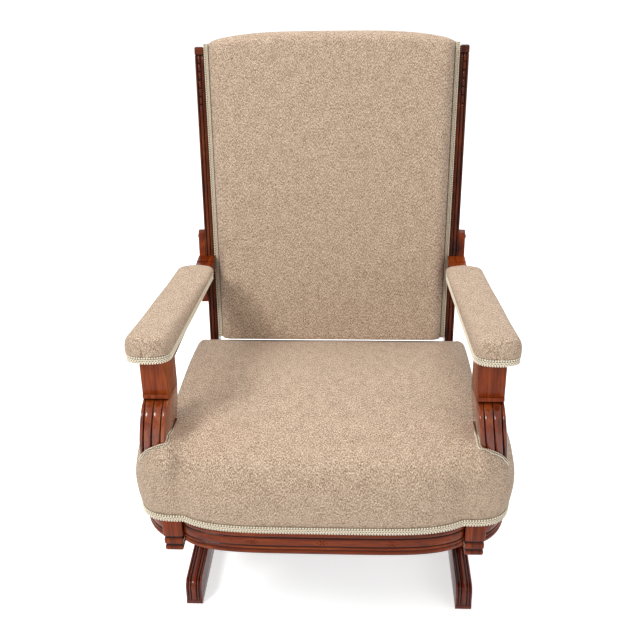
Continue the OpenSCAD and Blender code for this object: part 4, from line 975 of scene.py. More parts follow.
def gimp_input(name, path, face, side, width, thick, closed, rows):
    """Ground band and the lines of its braid along a path in the middle of the band's back.

    face is the path's outward direction and side the way across it; rows gives each line's place across
    the band, its row number, the size of its beads and its height on the band, in millimetres."""
    p, f, s = (np.asarray(a, float) for a in (path, face, side))
    if s.ndim == 1:
        s = np.tile(s, (len(p), 1))
    n, half, edge, top = len(p), width / 2, thick * 0.45, thick * 0.62
    section = [(-half, 0), (half, 0), (half, edge), (half * 0.8, top), (-half * 0.8, top), (-half, edge)]
    k = len(section)
    verts, faces = shell(np.stack([p + s * a + f * b for a, b in section], axis=1), flat=True)
    if closed:
        faces = faces[:-2] + [((n - 1) * k + c, (n - 1) * k + (c + 1) % k, (c + 1) % k, c) for c in range(k)]
    kinds, sizes, edges, parts = [0.0] * len(verts), [1.0] * len(verts), [], [verts]
    for across, kind, size, lift in rows:
        start = len(kinds)
        edges += [(start + i, start + (i + 1) % n) for i in range(n if closed else n - 1)]
        parts.append(p + s * across + f * lift)
        kinds += [kind] * n
        sizes += [size] * n
    obj = mesh_object(name, np.vstack(parts), edges, faces)
    point_values(obj, "row", kinds)
    point_values(obj, "size", sizes)
    return obj


def braid(name, path, face, side, width, thick, *nodes, closed=False, picots=False, spacing=4.0, bead=1.75):
    """Gimp with a row of round loops along its upper edge, a slanted braid under it and picots below."""
    half = width / 2
    rows = [(half - bead * 0.9, 1, 1.0, thick - bead * 0.45)]
    if width > 8:
        under = half - bead * 2.15
        rows += [(under - (under + half) * k, 2, 1.0, thick * 0.62) for k in (0.22, 0.66)]
    else:
        rows += [(-half + bead * 0.8, 1, 0.8, thick - bead * 0.5)]
    if picots:
        rows += [(-half - 0.2, 1, 0.95, thick * 0.5)]
    obj = gimp_input(name, path, face, side, width, thick, closed, rows)
    side = np.asarray(side, float)
    across = side if side.ndim == 1 else side[len(side) // 2]
    run_tree(obj, gimp_tree(), {
        "Bead Spacing": spacing * MM, "Bead Radius": bead * MM, "Braid Spacing": 2.3 * MM, "Braid Length": 2.3 * MM,
        "Slant": 0.9, "Side": tuple(float(v) for v in across),
        "Thread": MATERIALS["gimp"], "Ground": MATERIALS["ground"]})
    return finish_piece(obj, "gimp", *nodes, own=True)


def build_seat_gimp():
    half = np.array(seat_half(SOFT_GAP, BACK_FOOT_Y))
    rear = back_plane_y(RAIL_TOP) - 30
    half = np.vstack([half[half[:, 1] < rear], [SIDE_OUT_X + CLOTH_OUT + SOFT_GAP, rear]])
    half = resample(half, 170)
    path = eased(np.vstack([mirrored(half[1:])[::-1], half]), 2)
    flat = np.column_stack([path, np.full(len(path), RAIL_TOP + GIMP_H / 2 + 0.65)])
    face = np.column_stack([outward(path), np.zeros(len(path))])
    return braid("seat_gimp_braid", flat, face, (0, 0, 1), GIMP_H - 2.7, GIMP_T, "seat_gimp", picots=True, spacing=4.6)


def build_pad_gimp(side):
    ts = [pad_place(t, -GIMP_T) for t in pad_stations(46)]
    ring = [(arm_mid(t) + pad_half(t, -GIMP_T), t) for t in ts]
    ring += [(arm_mid(t) - pad_half(t, -GIMP_T), t) for t in reversed(ts)]
    ring = resample(ring + ring[:1], 181)[:-1]
    path = np.array([from_arm(x, t, PAD_GIMP_H / 2 + SOFT_GAP) for x, t in ring])
    face = np.array([np.subtract(from_arm(a, b, 0), from_arm(0, 0, 0)) for a, b in outward(ring, closed=True)])
    up = np.subtract(from_arm(0, 0, 1), from_arm(0, 0, 0))
    if side == "left":
        path, face = mirrored(path)[::-1], mirrored(face)[::-1]
    return braid("arm_gimp_braid_" + side, path, face, up, PAD_GIMP_H - 0.6, GIMP_T, "arm_gimp_" + side,
                 closed=True, picots=True)


def build_back_gimp(side):
    sign = -1.0 if side == "left" else 1.0
    path = np.array([from_back(sign * (stile_in(s) - 0.7 - 4.6), 1.9, s) for s in np.linspace(4, STILE_RISE + 4, 150)])
    face = np.tile(np.subtract(from_back(0, -1, 0), from_back(0, 0, 0)), (len(path), 1))
    return braid("back_gimp_braid_" + side, path, face, (sign, 0, 0), 8.8, 2.2, "back_gimp_" + side,
                 spacing=3.4, bead=1.4)


def support_front(z):
    """How far forward a support's face stands at a height."""
    low, swell, _ = post_rows(4)[::-1].T
    return -POST_FRONT - POST_BULGE * float(np.interp((MOULD_Z - z) / (MOULD_Z - RAIL_TOP), low, swell))


def build_foot_gimp(side, seat):
    """Gimp where the seat's cloth meets the front of a support, with a short turn back at its inner side."""
    cloth = BVHTree.FromObject(seat, bpy.context.evaluated_depsgraph_get())
    sign = -1 if side == "left" else 1
    out = []

    def lay(x, y):
        hit, normal, _, _ = cloth.ray_cast(Vector((sign * x * MM, y * MM, 0.60)), Vector((0, 0, -1)))
        return None if hit is None or hit.z < 0.40 else (sign * x, y, hit.z / MM, *normal)

    inner = POST_X + POST_DRIFT * 0.85
    for y in np.arange(-264, -312, -2.0):
        out.append(lay(inner - 4.5 + (y + 264) * 0.02, y))
    for x in np.arange(inner - 3.5, inner + POST_W + 3, 1.5):
        for y in np.arange(-350, -300, 0.5):
            spot = lay(x, y)
            if spot is not None and y >= support_front(spot[2]) - 2.6:
                out.append(spot)
                break
    out = np.array([spot for spot in out if spot is not None])
    if len(out) < 8:
        raise RuntimeError("the support's foot gimp found no cloth under it")
    path = eased(resample(out[:, :3], 70), 6)
    face = resample(out[:, 3:], 70)
    face /= np.linalg.norm(face, axis=1)[:, None]
    across = np.cross(np.gradient(path, axis=0), face)
    across /= np.linalg.norm(across, axis=1)[:, None]
    return braid("support_foot_gimp_" + side, path - face * 0.3, face, across, 6.2, 1.8, spacing=3.0, bead=1.35)


# ---------------------------------------------------------------- stiles

# Front face of a stile from its outer edge: place in millimetres, depth and painted groove shade
STILE_FACE = [(0.0, 3.4, 0.0), (0.25, 1.7, 0.0), (1.0, 0.6, 0.0), (2.0, 0.3, 0.0), (3.0, 0.6, 0.1), (3.6, 1.6, 0.7),
              (4.1, 2.9, 1.0), (4.7, 2.9, 1.0), (5.1, 1.3, 0.4), (5.8, 0.4, 0.0), (6.8, 0.0, 0.0), (7.7, -0.1, 0.0),
              (8.6, 0.0, 0.0), (9.6, 0.4, 0.0), (10.3, 1.3, 0.4), (10.7, 2.9, 1.0), (11.4, 2.9, 1.0), (11.8, 1.5, 0.5),
              (12.4, 0.7, 0.0), (13.3, 0.4, 0.0), (14.0, 0.6, 0.2), (14.4, 1.2, 0.6), (14.8, 0.6, 0.2),
              (15.6, 0.5, 0.0), (16.4, 1.2, 0.0), (17.0, 3.0, 0.0)]
CAP_S = STILE_RISE - 16.0
NOTCH_PITCH, NOTCHES = 15.5, 6
# A notch across a stile's middle reed: place from its middle and depth
NOTCH = [(-6.5, 0.0), (-2.2, 0.3), (-0.9, 1.6), (0.0, 2.4), (0.9, 1.6), (2.2, 0.3), (6.5, 0.0)]


def stile_ring(s, cut=0.0, shrink=0.0, dark=0.0, plain_face=False, floor_z=None):
    """Section of a stile at s: its reeded face, then the plain sides and rear with eased corners."""
    points = []
    for x, d, g in STILE_FACE:
        if plain_face:
            d, g = max(0.0, 1.8 - min(x, STILE_W - x)) ** 2 * 0.55 + 0.2, 0.0
        elif 5.0 <= x <= 10.4:
            # In a notch the middle reed takes painted shade, the deeper the cut the darker.
            d, g = max(d, cut), max(g, min(1.0, cut / 2.0))
        points.append((STILE_W / 2 - x, d, max(g, dark)))
    rear = [(0.0, 8.0), (0.0, STILE_D - 1.4), (0.5, STILE_D - 0.4), (1.5, STILE_D)]
    points += [(x - STILE_W / 2, y, dark) for x, y in rear] + [(STILE_W / 2 - x, y, dark) for x, y in rear[::-1]]
    ring = []
    for x, y, _ in points:
        x, y = x * (1 - shrink), y + (STILE_D / 2 - y) * shrink
        at = s if floor_z is None else (floor_z - SEAT_BACK_Z + y * math.sin(RECLINE)) / math.cos(RECLINE)
        ring.append(from_back(STILE_MID_X + at * math.tan(SPLAY) + x / math.cos(SPLAY), y, at))
    return ring, [g for _, _, g in points]


def build_stile(side):
    """Back stile: three reeds, chip-cut notches across the middle one and a plain cap."""
    rows = [stile_ring(0, floor_z=RAIL_Z + 0.2)]
    rows += [stile_ring(s) for s in np.linspace(-60, CAP_S - 112, 14)]
    rows += [stile_ring(CAP_S - k * NOTCH_PITCH + off, cut=cut) for k in range(NOTCHES, 0, -1) for off, cut in NOTCH]
    # The rings at the cap's narrow groove carry painted shade all round.
    rows += [stile_ring(CAP_S - 3.0), stile_ring(CAP_S - 1.0, shrink=0.05, dark=0.7),
             stile_ring(CAP_S, shrink=0.09, dark=1.0), stile_ring(CAP_S + 1.0, shrink=0.04, dark=0.6, plain_face=True)]
    rows += [stile_ring(s, plain_face=True) for s in (CAP_S + 1.8, STILE_RISE - 5.0)]
    rows += [stile_ring(STILE_RISE - drop, shrink=k, plain_face=True)
             for k, drop in ((0.01, 3.6), (0.05, 2.0), (0.13, 0.8), (0.24, 0.2), (0.4, 0.05), (0.7, 0.0))]
    rings, shades = zip(*rows)
    obj = lofted("back_stile_reeded_" + side, rings, groove=shades, mirror=side == "left", angle=42, turn_out=True)
    return finish_piece(obj, "wood_stile", "stile_" + side)


# ---------------------------------------------------------------- moulded rails and blocks

def rail_section(depth_back):
    """Moulded face of the rails from the bottom up, then the plain back: places and painted groove shades."""
    out = [(0.9, 0.0, 0.2)]

    # Painted shade: a reed darkens towards its edges by edge, a groove by dark, and the face's top and bottom edges
    # take 0.2.
    def reed(z0, z1, inset, bulge, count, edge):
        for i in range(count):
            e = 2 * i / (count - 1) - 1
            out.append((inset + bulge * (1 - math.sqrt(1 - e * e * 0.95)), z0 + (z1 - z0) * (i / (count - 1)),
                        edge * abs(e) ** 6))

    def groove(z0, z1, inset, dark):
        for k, share, shade in ((0.15, 0.75, 0.85), (0.5, 1.0, 1.0), (0.85, 0.75, 0.85)):
            out.append((inset * share, z0 + (z1 - z0) * k, shade * dark))

    reed(0.012, 0.15, 0.0, 1.6, 9, 0.5)
    groove(0.16, 0.205, GROOVE * 0.8, 0.7)
    reed(0.215, 0.305, 0.4, 1.3, 9, 0.6)
    groove(0.305, 0.365, GROOVE * 1.15, 1.0)
    reed(0.365, 0.70, 0.55, 1.0, 13, 0.5)
    groove(0.70, 0.765, GROOVE * 1.15, 1.0)
    reed(0.765, 0.985, 0.0, 1.6, 11, 0.5)
    out += [(0.9, 1.0, 0.2), (depth_back, 1.0, 0.0), (depth_back, 0.0, 0.0)]
    return [(inset, RAIL_Z + z * RAIL_H) for inset, z, _ in out], [shade for *_, shade in out]


# Chisel cuts of a small cross: turn in degrees, length and distance of the cut's middle from the cross's
CHIPS = [(turn, 5.2, 3.9) for turn in (42, 138, 222, 318)] + [(90, 3.0, 0.0), (0, 3.0, 7.4), (180, 3.0, 7.4)]
CHIP_HALF_W, CHIP_DEPTH = 1.4, 2.4
CROSSES_X = (-112.3, 0.0, 112.3)


def chip_marks(obj, x, y, z):
    """A small incised cross of chisel cuts, pointed at both ends, in the flat band of the rail."""
    verts, faces = [], []
    for turn, length, out in CHIPS:
        c, d = math.cos(math.radians(turn)), math.sin(math.radians(turn))
        start = len(verts)
        for along, across, deep in ((1, 0, 0), (0, 1, 0), (-1, 0, 0), (0, -1, 0), (0, 0, 1), (0, 0, -1)):
            a, b = out + along * length / 2, across * CHIP_HALF_W
            verts.append((x + a * c - b * d, y + deep * CHIP_DEPTH, z + a * d + b * c))
        faces += [tuple(start + i for i in f) for f in
                  ((0, 1, 4), (1, 2, 4), (2, 3, 4), (3, 0, 4), (1, 0, 5), (2, 1, 5), (3, 2, 5), (0, 3, 5))]
    # Painted shade: the cuts' faces are shaded fully dark.
    cut = add_object("chip_cuts", verts, faces, groove=[1.0] * len(verts))
    outward_faces(cut)
    cut_out(obj, cut)


def rail_rings(path, section):
    """A section of insets and heights carried along a plan path, its face on the right."""
    return [[(x - nx * inset, y - ny * inset, z) for inset, z in section]
            for (x, y), (nx, ny) in zip(path, outward(path))]


def build_front_rail():
    path = [(x, bow_at(x)) for x in BOW_HALF * np.sin(np.linspace(-math.pi / 2, math.pi / 2, 161))]
    section, shade = rail_section(BOW_T - 5)
    obj = lofted("front_rail_moulded", rail_rings(path, section), groove=[shade] * len(path))
    for x in CROSSES_X:
        chip_marks(obj, x, bow_at(x) + 0.5, RAIL_Z + 0.53 * RAIL_H)
    sharpen(obj)
    return finish_piece(obj, "wood_across", "front_rail")


def build_ear_rail(side):
    """Moulded rail round an ear, its back against the corner block and then the side rail."""
    x0 = BLOCK_X + BLOCK_W + FIT_GAP
    path = resample(ear_line(EAR_RX, EAR_RY, SIDE_OUT_X, EAR_BACK, 1, x0, 44), 90)
    section, shade = rail_section(1.0)
    rings = rail_rings(path, section[:-2])
    for (x, y), ring in zip(path, rings):
        inner = min(x - 0.9, x0 if y < BLOCK_REAR - 0.2 else SIDE_OUT_X + 0.1)
        ring += [(inner, y, RAIL_Z + RAIL_H), (inner, y, RAIL_Z)]
    obj = lofted("ear_rail_moulded_" + side, rings, groove=[shade] * len(rings), mirror=side == "left")
    return finish_piece(obj, "wood_along", "ear_rail_" + side)


# Ends of a foot from the floor up: height and how far in the face stands
FOOT_END = [(0.0, 2.2), (1.2, 1.2), (6.0, 0.6), (8.2, 0.7), (9.2, 1.9), (10.4, 1.9), (11.2, 0.3), (13, 0), (20, 0),
            (28, 0)]
# Reeds of a foot from its side to the middle of its top: place, depth and painted groove shade, the side itself at 0.4
FOOT_REEDS = [(0.0, 2.6, 0.4), (0.35, 1.3, 0.1), (1.1, 0.4, 0.0), (2.0, 0.1, 0.0), (3.0, 0.3, 0.0), (3.8, 1.0, 0.35),
              (4.3, 2.2, 1.0), (5.0, 2.5, 1.0), (5.7, 2.2, 1.0), (6.2, 0.9, 0.3), (7.0, 0.35, 0.0), (7.5, 0.3, 0.0),
              (8.0, 0.35, 0.0), (8.8, 0.9, 0.3), (9.3, 2.2, 1.0), (10.0, 2.5, 1.0), (10.7, 2.0, 1.0),
              (11.3, 0.7, 0.3), (12.2, 0.3, 0.0)]


def foot_line(inset):
    """Side outline of a foot drawn in by a reed's depth, except in its lowest 9 mm."""
    end = [(back, z, -1, 0) for z, back in FOOT_END]
    end += [(TOE_R - TOE_R * c, FOOT_H - TOE_R + TOE_R * s, -c, s) for c, s in arc(0, 90, 11)]
    rows = [(y - TOE_Y, z, ny, nz) for y, z, ny, nz in end]
    rows += [(TOE_R - TOE_Y + (FOOT_REAR + TOE_Y - 2 * TOE_R) * k, FOOT_H, 0, 1) for k in np.linspace(0.08, 0.92, 12)]
    rows += [(FOOT_REAR - y, z, -ny, nz) for y, z, ny, nz in end[::-1]]
    keep = [inset * min(1.0, max(0.0, (z - 9) / 5)) for _, z, _, _ in rows]
    return [(y - ny * k, z - nz * k) for (y, z, ny, nz), k in zip(rows, keep)]


def build_foot(side):
    """Sled foot with two reeds along each edge of its top and round its toes."""
    across = FOOT_REEDS + [(FOOT_W / 2, 0.0, 0.0)] + [(FOOT_W - x, d, g) for x, d, g in FOOT_REEDS[::-1]]
    rings = [[(FOOT_X - FOOT_W / 2 + x, y, z) for y, z in foot_line(d)] for x, d, _ in across]
    # Painted shade: 0.8 in the groove 9 to 11 mm up and 0.2 lower down, by the floor.
    shades = [[g if z > 11 else (0.8 if 9 < z < 11 else 0.2) for _, _, z in ring]
              for ring, (_, _, g) in zip(rings, across)]
    obj = lofted("foot_reeded_" + side, rings, groove=shades, mirror=side == "left", angle=30, turn_out=True)
    return finish_piece(obj, "wood_foot", "foot_" + side, body="base")


# A corner block from the floor side up: share of its height, inset and painted groove shade
BLOCK_TIERS = [(0, 2.4, 0.2), (0.02, 1.6, 0), (0.07, 1.2, 0), (0.12, 1.6, 0.2), (0.145, 3.0, 0.9), (0.17, 3.4, 1),
               (0.195, 3.0, 0.9), (0.215, 1.3, 0.2), (0.25, 0.8, 0), (0.35, 0.8, 0), (0.385, 1.3, 0.2),
               (0.405, 2.8, 0.9), (0.43, 3.2, 1), (0.455, 2.8, 0.9), (0.475, 0.5, 0.2), (0.5, 0.0, 0), (0.97, 0.0, 0),
               (1.0, 0.6, 0.1)]


def block_ring(inset, z):
    """Section of a corner block, its front corners eased more than its rear ones."""
    ease, rear_ease = 2.2, 0.6
    x0, x1 = BLOCK_X + inset + ease, BLOCK_X + BLOCK_W - inset - ease
    ring = []
    for x, y, r, a0 in ((x1, BLOCK_REAR - rear_ease, rear_ease, 0), (x0, BLOCK_REAR - rear_ease, rear_ease, 90),
                        (x0, BLOCK_Y + inset + ease, ease, 180), (x1, BLOCK_Y + inset + ease, ease, 270)):
        for a in (0, 22, 45, 68, 90):
            t = math.radians(a0 + a)
            ring.append((x + ease * math.cos(t), y + r * math.sin(t), z))
    return ring


def build_corner_block(side):
    rings = [block_ring(inset, RAIL_Z - BLOCK_DROP + k * (RAIL_H + BLOCK_DROP)) for k, inset, _ in BLOCK_TIERS]
    shades = [[g] * len(rings[0]) for _, _, g in BLOCK_TIERS]
    obj = lofted("corner_block_turned_" + side, rings, groove=shades, mirror=side == "left")
    return finish_piece(obj, "wood_upright", "corner_block_" + side)


# ---------------------------------------------------------------- springs, webbing and cover

def coil_path(r, turns, h, pitch, x, y, z0, steps=28):
    """Middle of a spring's wire, its end turns closer than the others."""
    out = []
    for i in range(turns * steps + 1):
        t = i / steps
        if t < 1:
            z = pitch * t
        elif t > turns - 1:
            z = h - pitch * (turns - t)
        else:
            z = pitch + (h - 2 * pitch) * (t - 1) / (turns - 2)
        out.append((x + r * math.cos(2 * math.pi * t), y + r * math.sin(2 * math.pi * t), z0 + z))
    return out


def wound(name, lines, wire, sides):
    """Object with a round wire along each line."""
    points = [p for line in lines for p in line]
    ends = set(np.cumsum([len(line) for line in lines]))
    edges = [(i, i + 1) for i in range(len(points) - 1) if i + 1 not in ends]
    obj = mesh_object(name, points, edges, [])
    return run_tree(obj, coil_tree(), {"Wire Radius": wire * MM, "Sides": sides, "Wire": MATERIALS["steel"]})


def build_springs(side):
    x = -213.5 if side == "left" else 213.5
    wire = 2.5
    lines = [coil_path(20.0, 6, 59.8 - 2 * wire, 5.9, x, 10 + y * 45.0, 175.1 + wire) for y in (-1, 1)]
    obj = wound("rocker_springs_wound_" + side, lines, wire, 12)
    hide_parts("rocker_springs_" + side)
    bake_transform(obj)
    return obj


def build_seat_springs():
    wire, z0 = 1.7, RAIL_Z - FIT_GAP + 1.6
    lines = [coil_path(32.0, 3, RAIL_TOP - 0.1 - z0 - 2 * wire, 4.0, k * 110.0, -110.0 + j * 115.0, z0 + wire, 24)
             for k in (-1, 0, 1) for j in (-1, 0, 1)]
    return finish_piece(wound("seat_springs_wound", lines, wire, 8), "steel", "seat_springs", own=True)


def cover_outline():
    """Plan of the dust cover, 8 mm inside the rails' faces, from its front middle round the right side."""
    front, side, rear = BLOCK_X - 0.4, SIDE_RAIL_X - 0.2, back_plane_y(RAIL_TOP) + 19.0
    half = [(x, bow_at(x) + 8.0) for x in np.linspace(0, front - 8, 36)]
    half += [(front, bow_at(front - 8) + 8.0), (front, BLOCK_REAR + 0.2), (side, BLOCK_REAR + 0.2)]
    half += [(side, y) for y in np.linspace(BLOCK_REAR + 20, rear, 22)]
    half += [(x, rear) for x in np.linspace(side - 12, 0, 20)]
    return half + [(-x, y) for x, y in half[-2:0:-1]]


def build_dust_cover():
    """Black cambric under the seat: it hangs a little between the tacks round its edge."""
    edge = np.array(cover_outline())
    top = []
    for k in (1.0, 0.985, 0.95, 0.88, 0.76, 0.6, 0.42, 0.22):
        z = COVER_Z - 0.1 - 5.0 * (1 - k * k)
        top.append([(x * k, COVER_MID_Y + (y - COVER_MID_Y) * k, z - 0.5 * math.sin(x / 19 + y / 23) * (1 - k) * k * 3)
                    for x, y in edge])
    low = [[(x, y, z - 0.7) for x, y, z in ring] for ring in top]
    obj = lofted("dust_cover_cambric", top[::-1] + low, angle=60, turn_out=True)
    finish_piece(obj, "cambric", "dust_cover")
    return obj


def turned(name, profile, sides):
    """Round shape about Z from rows of radius and height."""
    angles = [2 * math.pi * i / sides for i in range(sides)]
    return lofted(name, [[(r * math.cos(a), r * math.sin(a), z) for a in angles] for r, z in profile], turn_out=True)


def on_points(name, kind, points, facing, metal, body="chair"):
    """Fasteners of one kind at their places, each turned to its own facing."""
    obj = mesh_object(name, points, [], [])
    point_values(obj, "facing", facing, "FLOAT_VECTOR")
    run_tree(obj, heads_tree(), {"Head": kind, "Metal": MATERIALS[metal]})
    bpy.data.objects.remove(kind)
    return finish_piece(obj, metal, body=body, own=True)


def build_tacks():
    """Tacks round the dust cover."""
    edge = np.array(cover_outline() + cover_outline()[:1])
    spots = resample([[x * 0.985, COVER_MID_Y + (y - COVER_MID_Y) * 0.985] for x, y in edge], 61)[:-1]
    tack = turned("tack_shape", [(0.6, 0.4), (2.6, 0.0), (2.7, -0.3), (2.1, -0.9), (1.1, -1.2), (0.3, -1.3)], 10)
    points = [(x, y, COVER_Z - 0.9) for x, y in spots]
    return on_points("dust_cover_tacks", tack, points, [(0, 0, 1)] * len(points), "iron")


def slotted_head(radius, height):
    """Round head of a wood screw with its slot, the underside at z 0 and facing +Z."""
    profile = ((0.55, 0.0), (1.0, 0.0), (0.99, 0.25), (0.86, 0.66), (0.55, 0.92), (0.2, 1.0))
    head = turned("screw_shape", [(radius * r, height * z) for r, z in profile], 20)
    half_w, floor, top = radius * 0.11, height * 0.55, height * 1.6
    box = [(a * radius * 1.2, b * half_w, z) for z in (floor, top) for a, b in ((-1, -1), (1, -1), (1, 1), (-1, 1))]
    cut_out(head, add_object("slot_shape", box, [(3, 2, 1, 0), (4, 5, 6, 7), (0, 1, 5, 4), (1, 2, 6, 5), (2, 3, 7, 6),
                                                 (3, 0, 4, 7)]))
    sharpen(head)
    return head


def screw_places(name):
    """Middle and facing of each screw head of a node, from the node's own solids."""
    obj = NODES[name]
    points = np.array([tuple(v.co) for v in obj.data.vertices]) / MM
    groups = []
    for p in points:
        for g in groups:
            if abs(p[1] - g[0][1]) < 12 and abs(p[2] - g[0][2]) < 12 and p[0] * g[0][0] > 0:
                g.append(p)
                break
        else:
            groups.append([p])
    out = []
    for g in groups:
        g = np.array(g)
        low, high = g[:, 0].min(), g[:, 0].max()
        ends = [g[abs(g[:, 0] - e) < 1.9] for e in (low, high)]
        wide = [np.ptp(e[:, 1]) if len(e) else 0 for e in ends]
        end = 0 if wide[0] > wide[1] else 1
        at = ends[end]
        mid = (at.min(axis=0) + at.max(axis=0)) / 2
        out.append(((low, high)[end], mid[1], mid[2], -1 if end == 0 else 1))
    return out


def build_screws():
    """Slotted round heads over the screws that hold the brackets."""
    for body in ("base", "chair"):
        places = screw_places(body + "_screws")
        points = [(x - sign * 1.2, y, z) for x, y, z, sign in places]
        on_points(body + "_screw_heads", slotted_head(4.0, 2.6), points, [(sign, 0, 0) for *_, sign in places],
                  "steel", body)


def build_outside_back():
    """Cloth-covered panel behind the back, slightly rounded at its edges."""
    s0, s1, steps = 14.0, STILE_RISE - 16.0, 24
    corners = [(1, 0), (1, 1), (-1, 1), (-1, 0), (1, 0)]
    rings, uvs = [], []
    for inset, lift in ((0.0, 0.0), (0.0, 1.6), (0.5, 2.6), (1.6, 3.0), (9, 3.2), (40, 3.6), (110, 4.0)):
        line = []
        for a, b in zip(corners, corners[1:]):
            for i in range(steps):
                u, v = a[0] + (b[0] - a[0]) * i / steps, a[1] + (b[1] - a[1]) * i / steps
                s = s0 + inset + (s1 - s0 - 2 * inset) * v
                line.append((u * (stile_in(s) - 0.4 - inset), s))
        rings.append([from_back(x, STILE_D - 3.0 + lift, s) for x, s in line])
        uvs.append(line)
    obj = lofted("outside_back_cloth", rings, uvs=uvs, angle=60, turn_out=True)
    return finish_piece(obj, "tweed", "outside_back")


# ---------------------------------------------------------------- add-on

class RockerSizes(bpy.types.PropertyGroup):
    """Looks of the cloth that the solids leave open."""
    crease_depth: bpy.props.FloatProperty(
        name="Crease Depth", description="Strength of the small pulls and pleats of the cloth", default=1.0,
        min=0.0, max=3.0, subtype="FACTOR")


class RockerFinish(bpy.types.PropertyGroup):
    """Colours of the wood and the trim."""
    wood_dark: bpy.props.FloatVectorProperty(
        name="Wood Dark", description="Colour of the grain's dark lines", subtype="COLOR",
        default=(0.045, 0.0065, 0.002), min=0, max=1)
    wood_mid: bpy.props.FloatVectorProperty(
        name="Wood", description="Main colour of the wood", subtype="COLOR",
        default=(0.212, 0.031, 0.004), min=0, max=1)
    wood_light: bpy.props.FloatVectorProperty(
        name="Wood Light", description="Colour of the grain's pale lines", subtype="COLOR",
        default=(0.395, 0.090, 0.013), min=0, max=1)
    gimp_colour: bpy.props.FloatVectorProperty(
        name="Gimp", description="Colour of the braid", subtype="COLOR", default=(1.000, 0.925, 0.765), min=0, max=1)


class PieceOperator:
    bl_options = {"REGISTER", "UNDO"}

    def execute(self, context):
        self.build(context)
        return {"FINISHED"}


SIDES = ("left", "right")
# Looks of the solids that stay in sight, by the start of their names; the others are upright wood
LOOKS = (
    (("foot_", "track_rail_", "rocker_left", "rocker_right", "side_rail_", "arm_rail_"), "wood_along"),
    (("rear_rail", "stretcher_", "back_top_rail", "back_lower_rail", "corner_braces"), "wood_across"),
    (("seat_gimp", "back_gimp", "arm_gimp"), "gimp"),
    (("lower_bracket", "upper_bracket"), "iron"),
    (("rocker_springs", "seat_springs", "base_screws", "chair_screws"), "steel"),
    (("wear_strip",), "leather"),
    (("dust_cover",), "cambric"),
    (("seat_webbing",), "jute"),
    (("outside_back",), "tweed"),
)


class ROCKER_OT_materials(PieceOperator, bpy.types.Operator):
    """Make the finishes and give them to the solids that stay in sight"""
    bl_idname = "rocker.materials"
    bl_label = "Finishes"

    def build(self, context):
        make_materials(context.scene.rocker_finish)
        for name, obj in NODES.items():
            look = next((look for starts, look in LOOKS if name.startswith(starts)), "wood_upright")
            obj.data.materials.clear()
            obj.data.materials.append(MATERIALS[look])


class ROCKER_OT_seat(PieceOperator, bpy.types.Operator):
    """Build the seat's upholstery with its gimp"""
    bl_idname = "rocker.seat"
    bl_label = "Seat Upholstery"

    def build(self, context):
        seat = build_seat(context.scene.rocker_sizes)
        build_seat_gimp()
        for side in SIDES:
            build_foot_gimp(side, seat)


class ROCKER_OT_back(PieceOperator, bpy.types.Operator):
    """Build the back's upholstery with its gimp"""
    bl_idname = "rocker.back"
    bl_label = "Back Upholstery"

    def build(self, context):
        build_back(context.scene.rocker_sizes)
        for side in SIDES:
            build_back_gimp(side)


class ROCKER_OT_pads(PieceOperator, bpy.types.Operator):
    """Build the arm pads with their gimp"""
    bl_idname = "rocker.pads"
    bl_label = "Arm Pads"

    def build(self, context):
        for side in SIDES:
            build_pad(side, context.scene.rocker_sizes)
            build_pad_gimp(side)


class ROCKER_OT_supports(PieceOperator, bpy.types.Operator):
    """Build the reeded arm supports and back stiles"""
    bl_idname = "rocker.supports"
    bl_label = "Supports and Stiles"

    def build(self, context):
        for side in SIDES:
            build_support(side)
            build_stile(side)


class ROCKER_OT_rails(PieceOperator, bpy.types.Operator):
    """Build the moulded front rail, the ear rails, the corner blocks and the feet"""
    bl_idname = "rocker.rails"
    bl_label = "Moulded Rails"

    def build(self, context):
        build_front_rail()
        for side in SIDES:
            build_ear_rail(side)
            build_corner_block(side)
            build_foot(side)


class ROCKER_OT_springs(PieceOperator, bpy.types.Operator):
    """Wind the rocking springs and the seat springs"""
    bl_idname = "rocker.springs"
    bl_label = "Springs"

    def build(self, context):
        for side in SIDES:
            build_springs(side)
        build_seat_springs()


class ROCKER_OT_underside(PieceOperator, bpy.types.Operator):
    """Stretch the dust cover, cover the outside back and put in the tacks and screw heads"""
    bl_idname = "rocker.underside"
    bl_label = "Covers and Fasteners"

    def build(self, context):
        build_dust_cover()
        build_tacks()
        build_outside_back()
        build_screws()


# Lamps: name, place and aim in metres, side in metres, power in watts
LAMPS = (("key", (-1.6, -1.9, 2.7), (0, 0, 0.45), 0.8, 56.0),
         ("fill", (2.4, -2.0, 1.6), (0, 0, 0.5), 2.0, 14.0),
         ("top", (0.1, 0.9, 3.2), (0, 0, 0.5), 1.6, 44.0))
AMBIENT, FLOOR_LIFT, FLOOR_HALF = 0.5, 0.62, 30.0
# The photograph's camera: place in metres, turns in degrees, then focal length and middle in its 640 pixels
CAMERA_PLACE = (0.05996, -1.557, 1.31397)
PITCH, YAW, ROLL = 26.86, -3.210, -1.108
PHOTO_SIDE, PHOTO_FOCAL, PHOTO_X, PHOTO_Y = 640.0, 950.0, 313.24, 328.32
SENSOR = 36.0


def seen_rays(tree):
    """1 for what the camera, a reflection or a clear piece sees, 0 for what lights the object."""
    path = add(tree, "ShaderNodeLightPath").outputs
    both = calc(tree, "MAXIMUM", path["Is Camera Ray"], path["Is Glossy Ray"])
    return calc(tree, "MAXIMUM", both, path["Is Transmission Ray"])


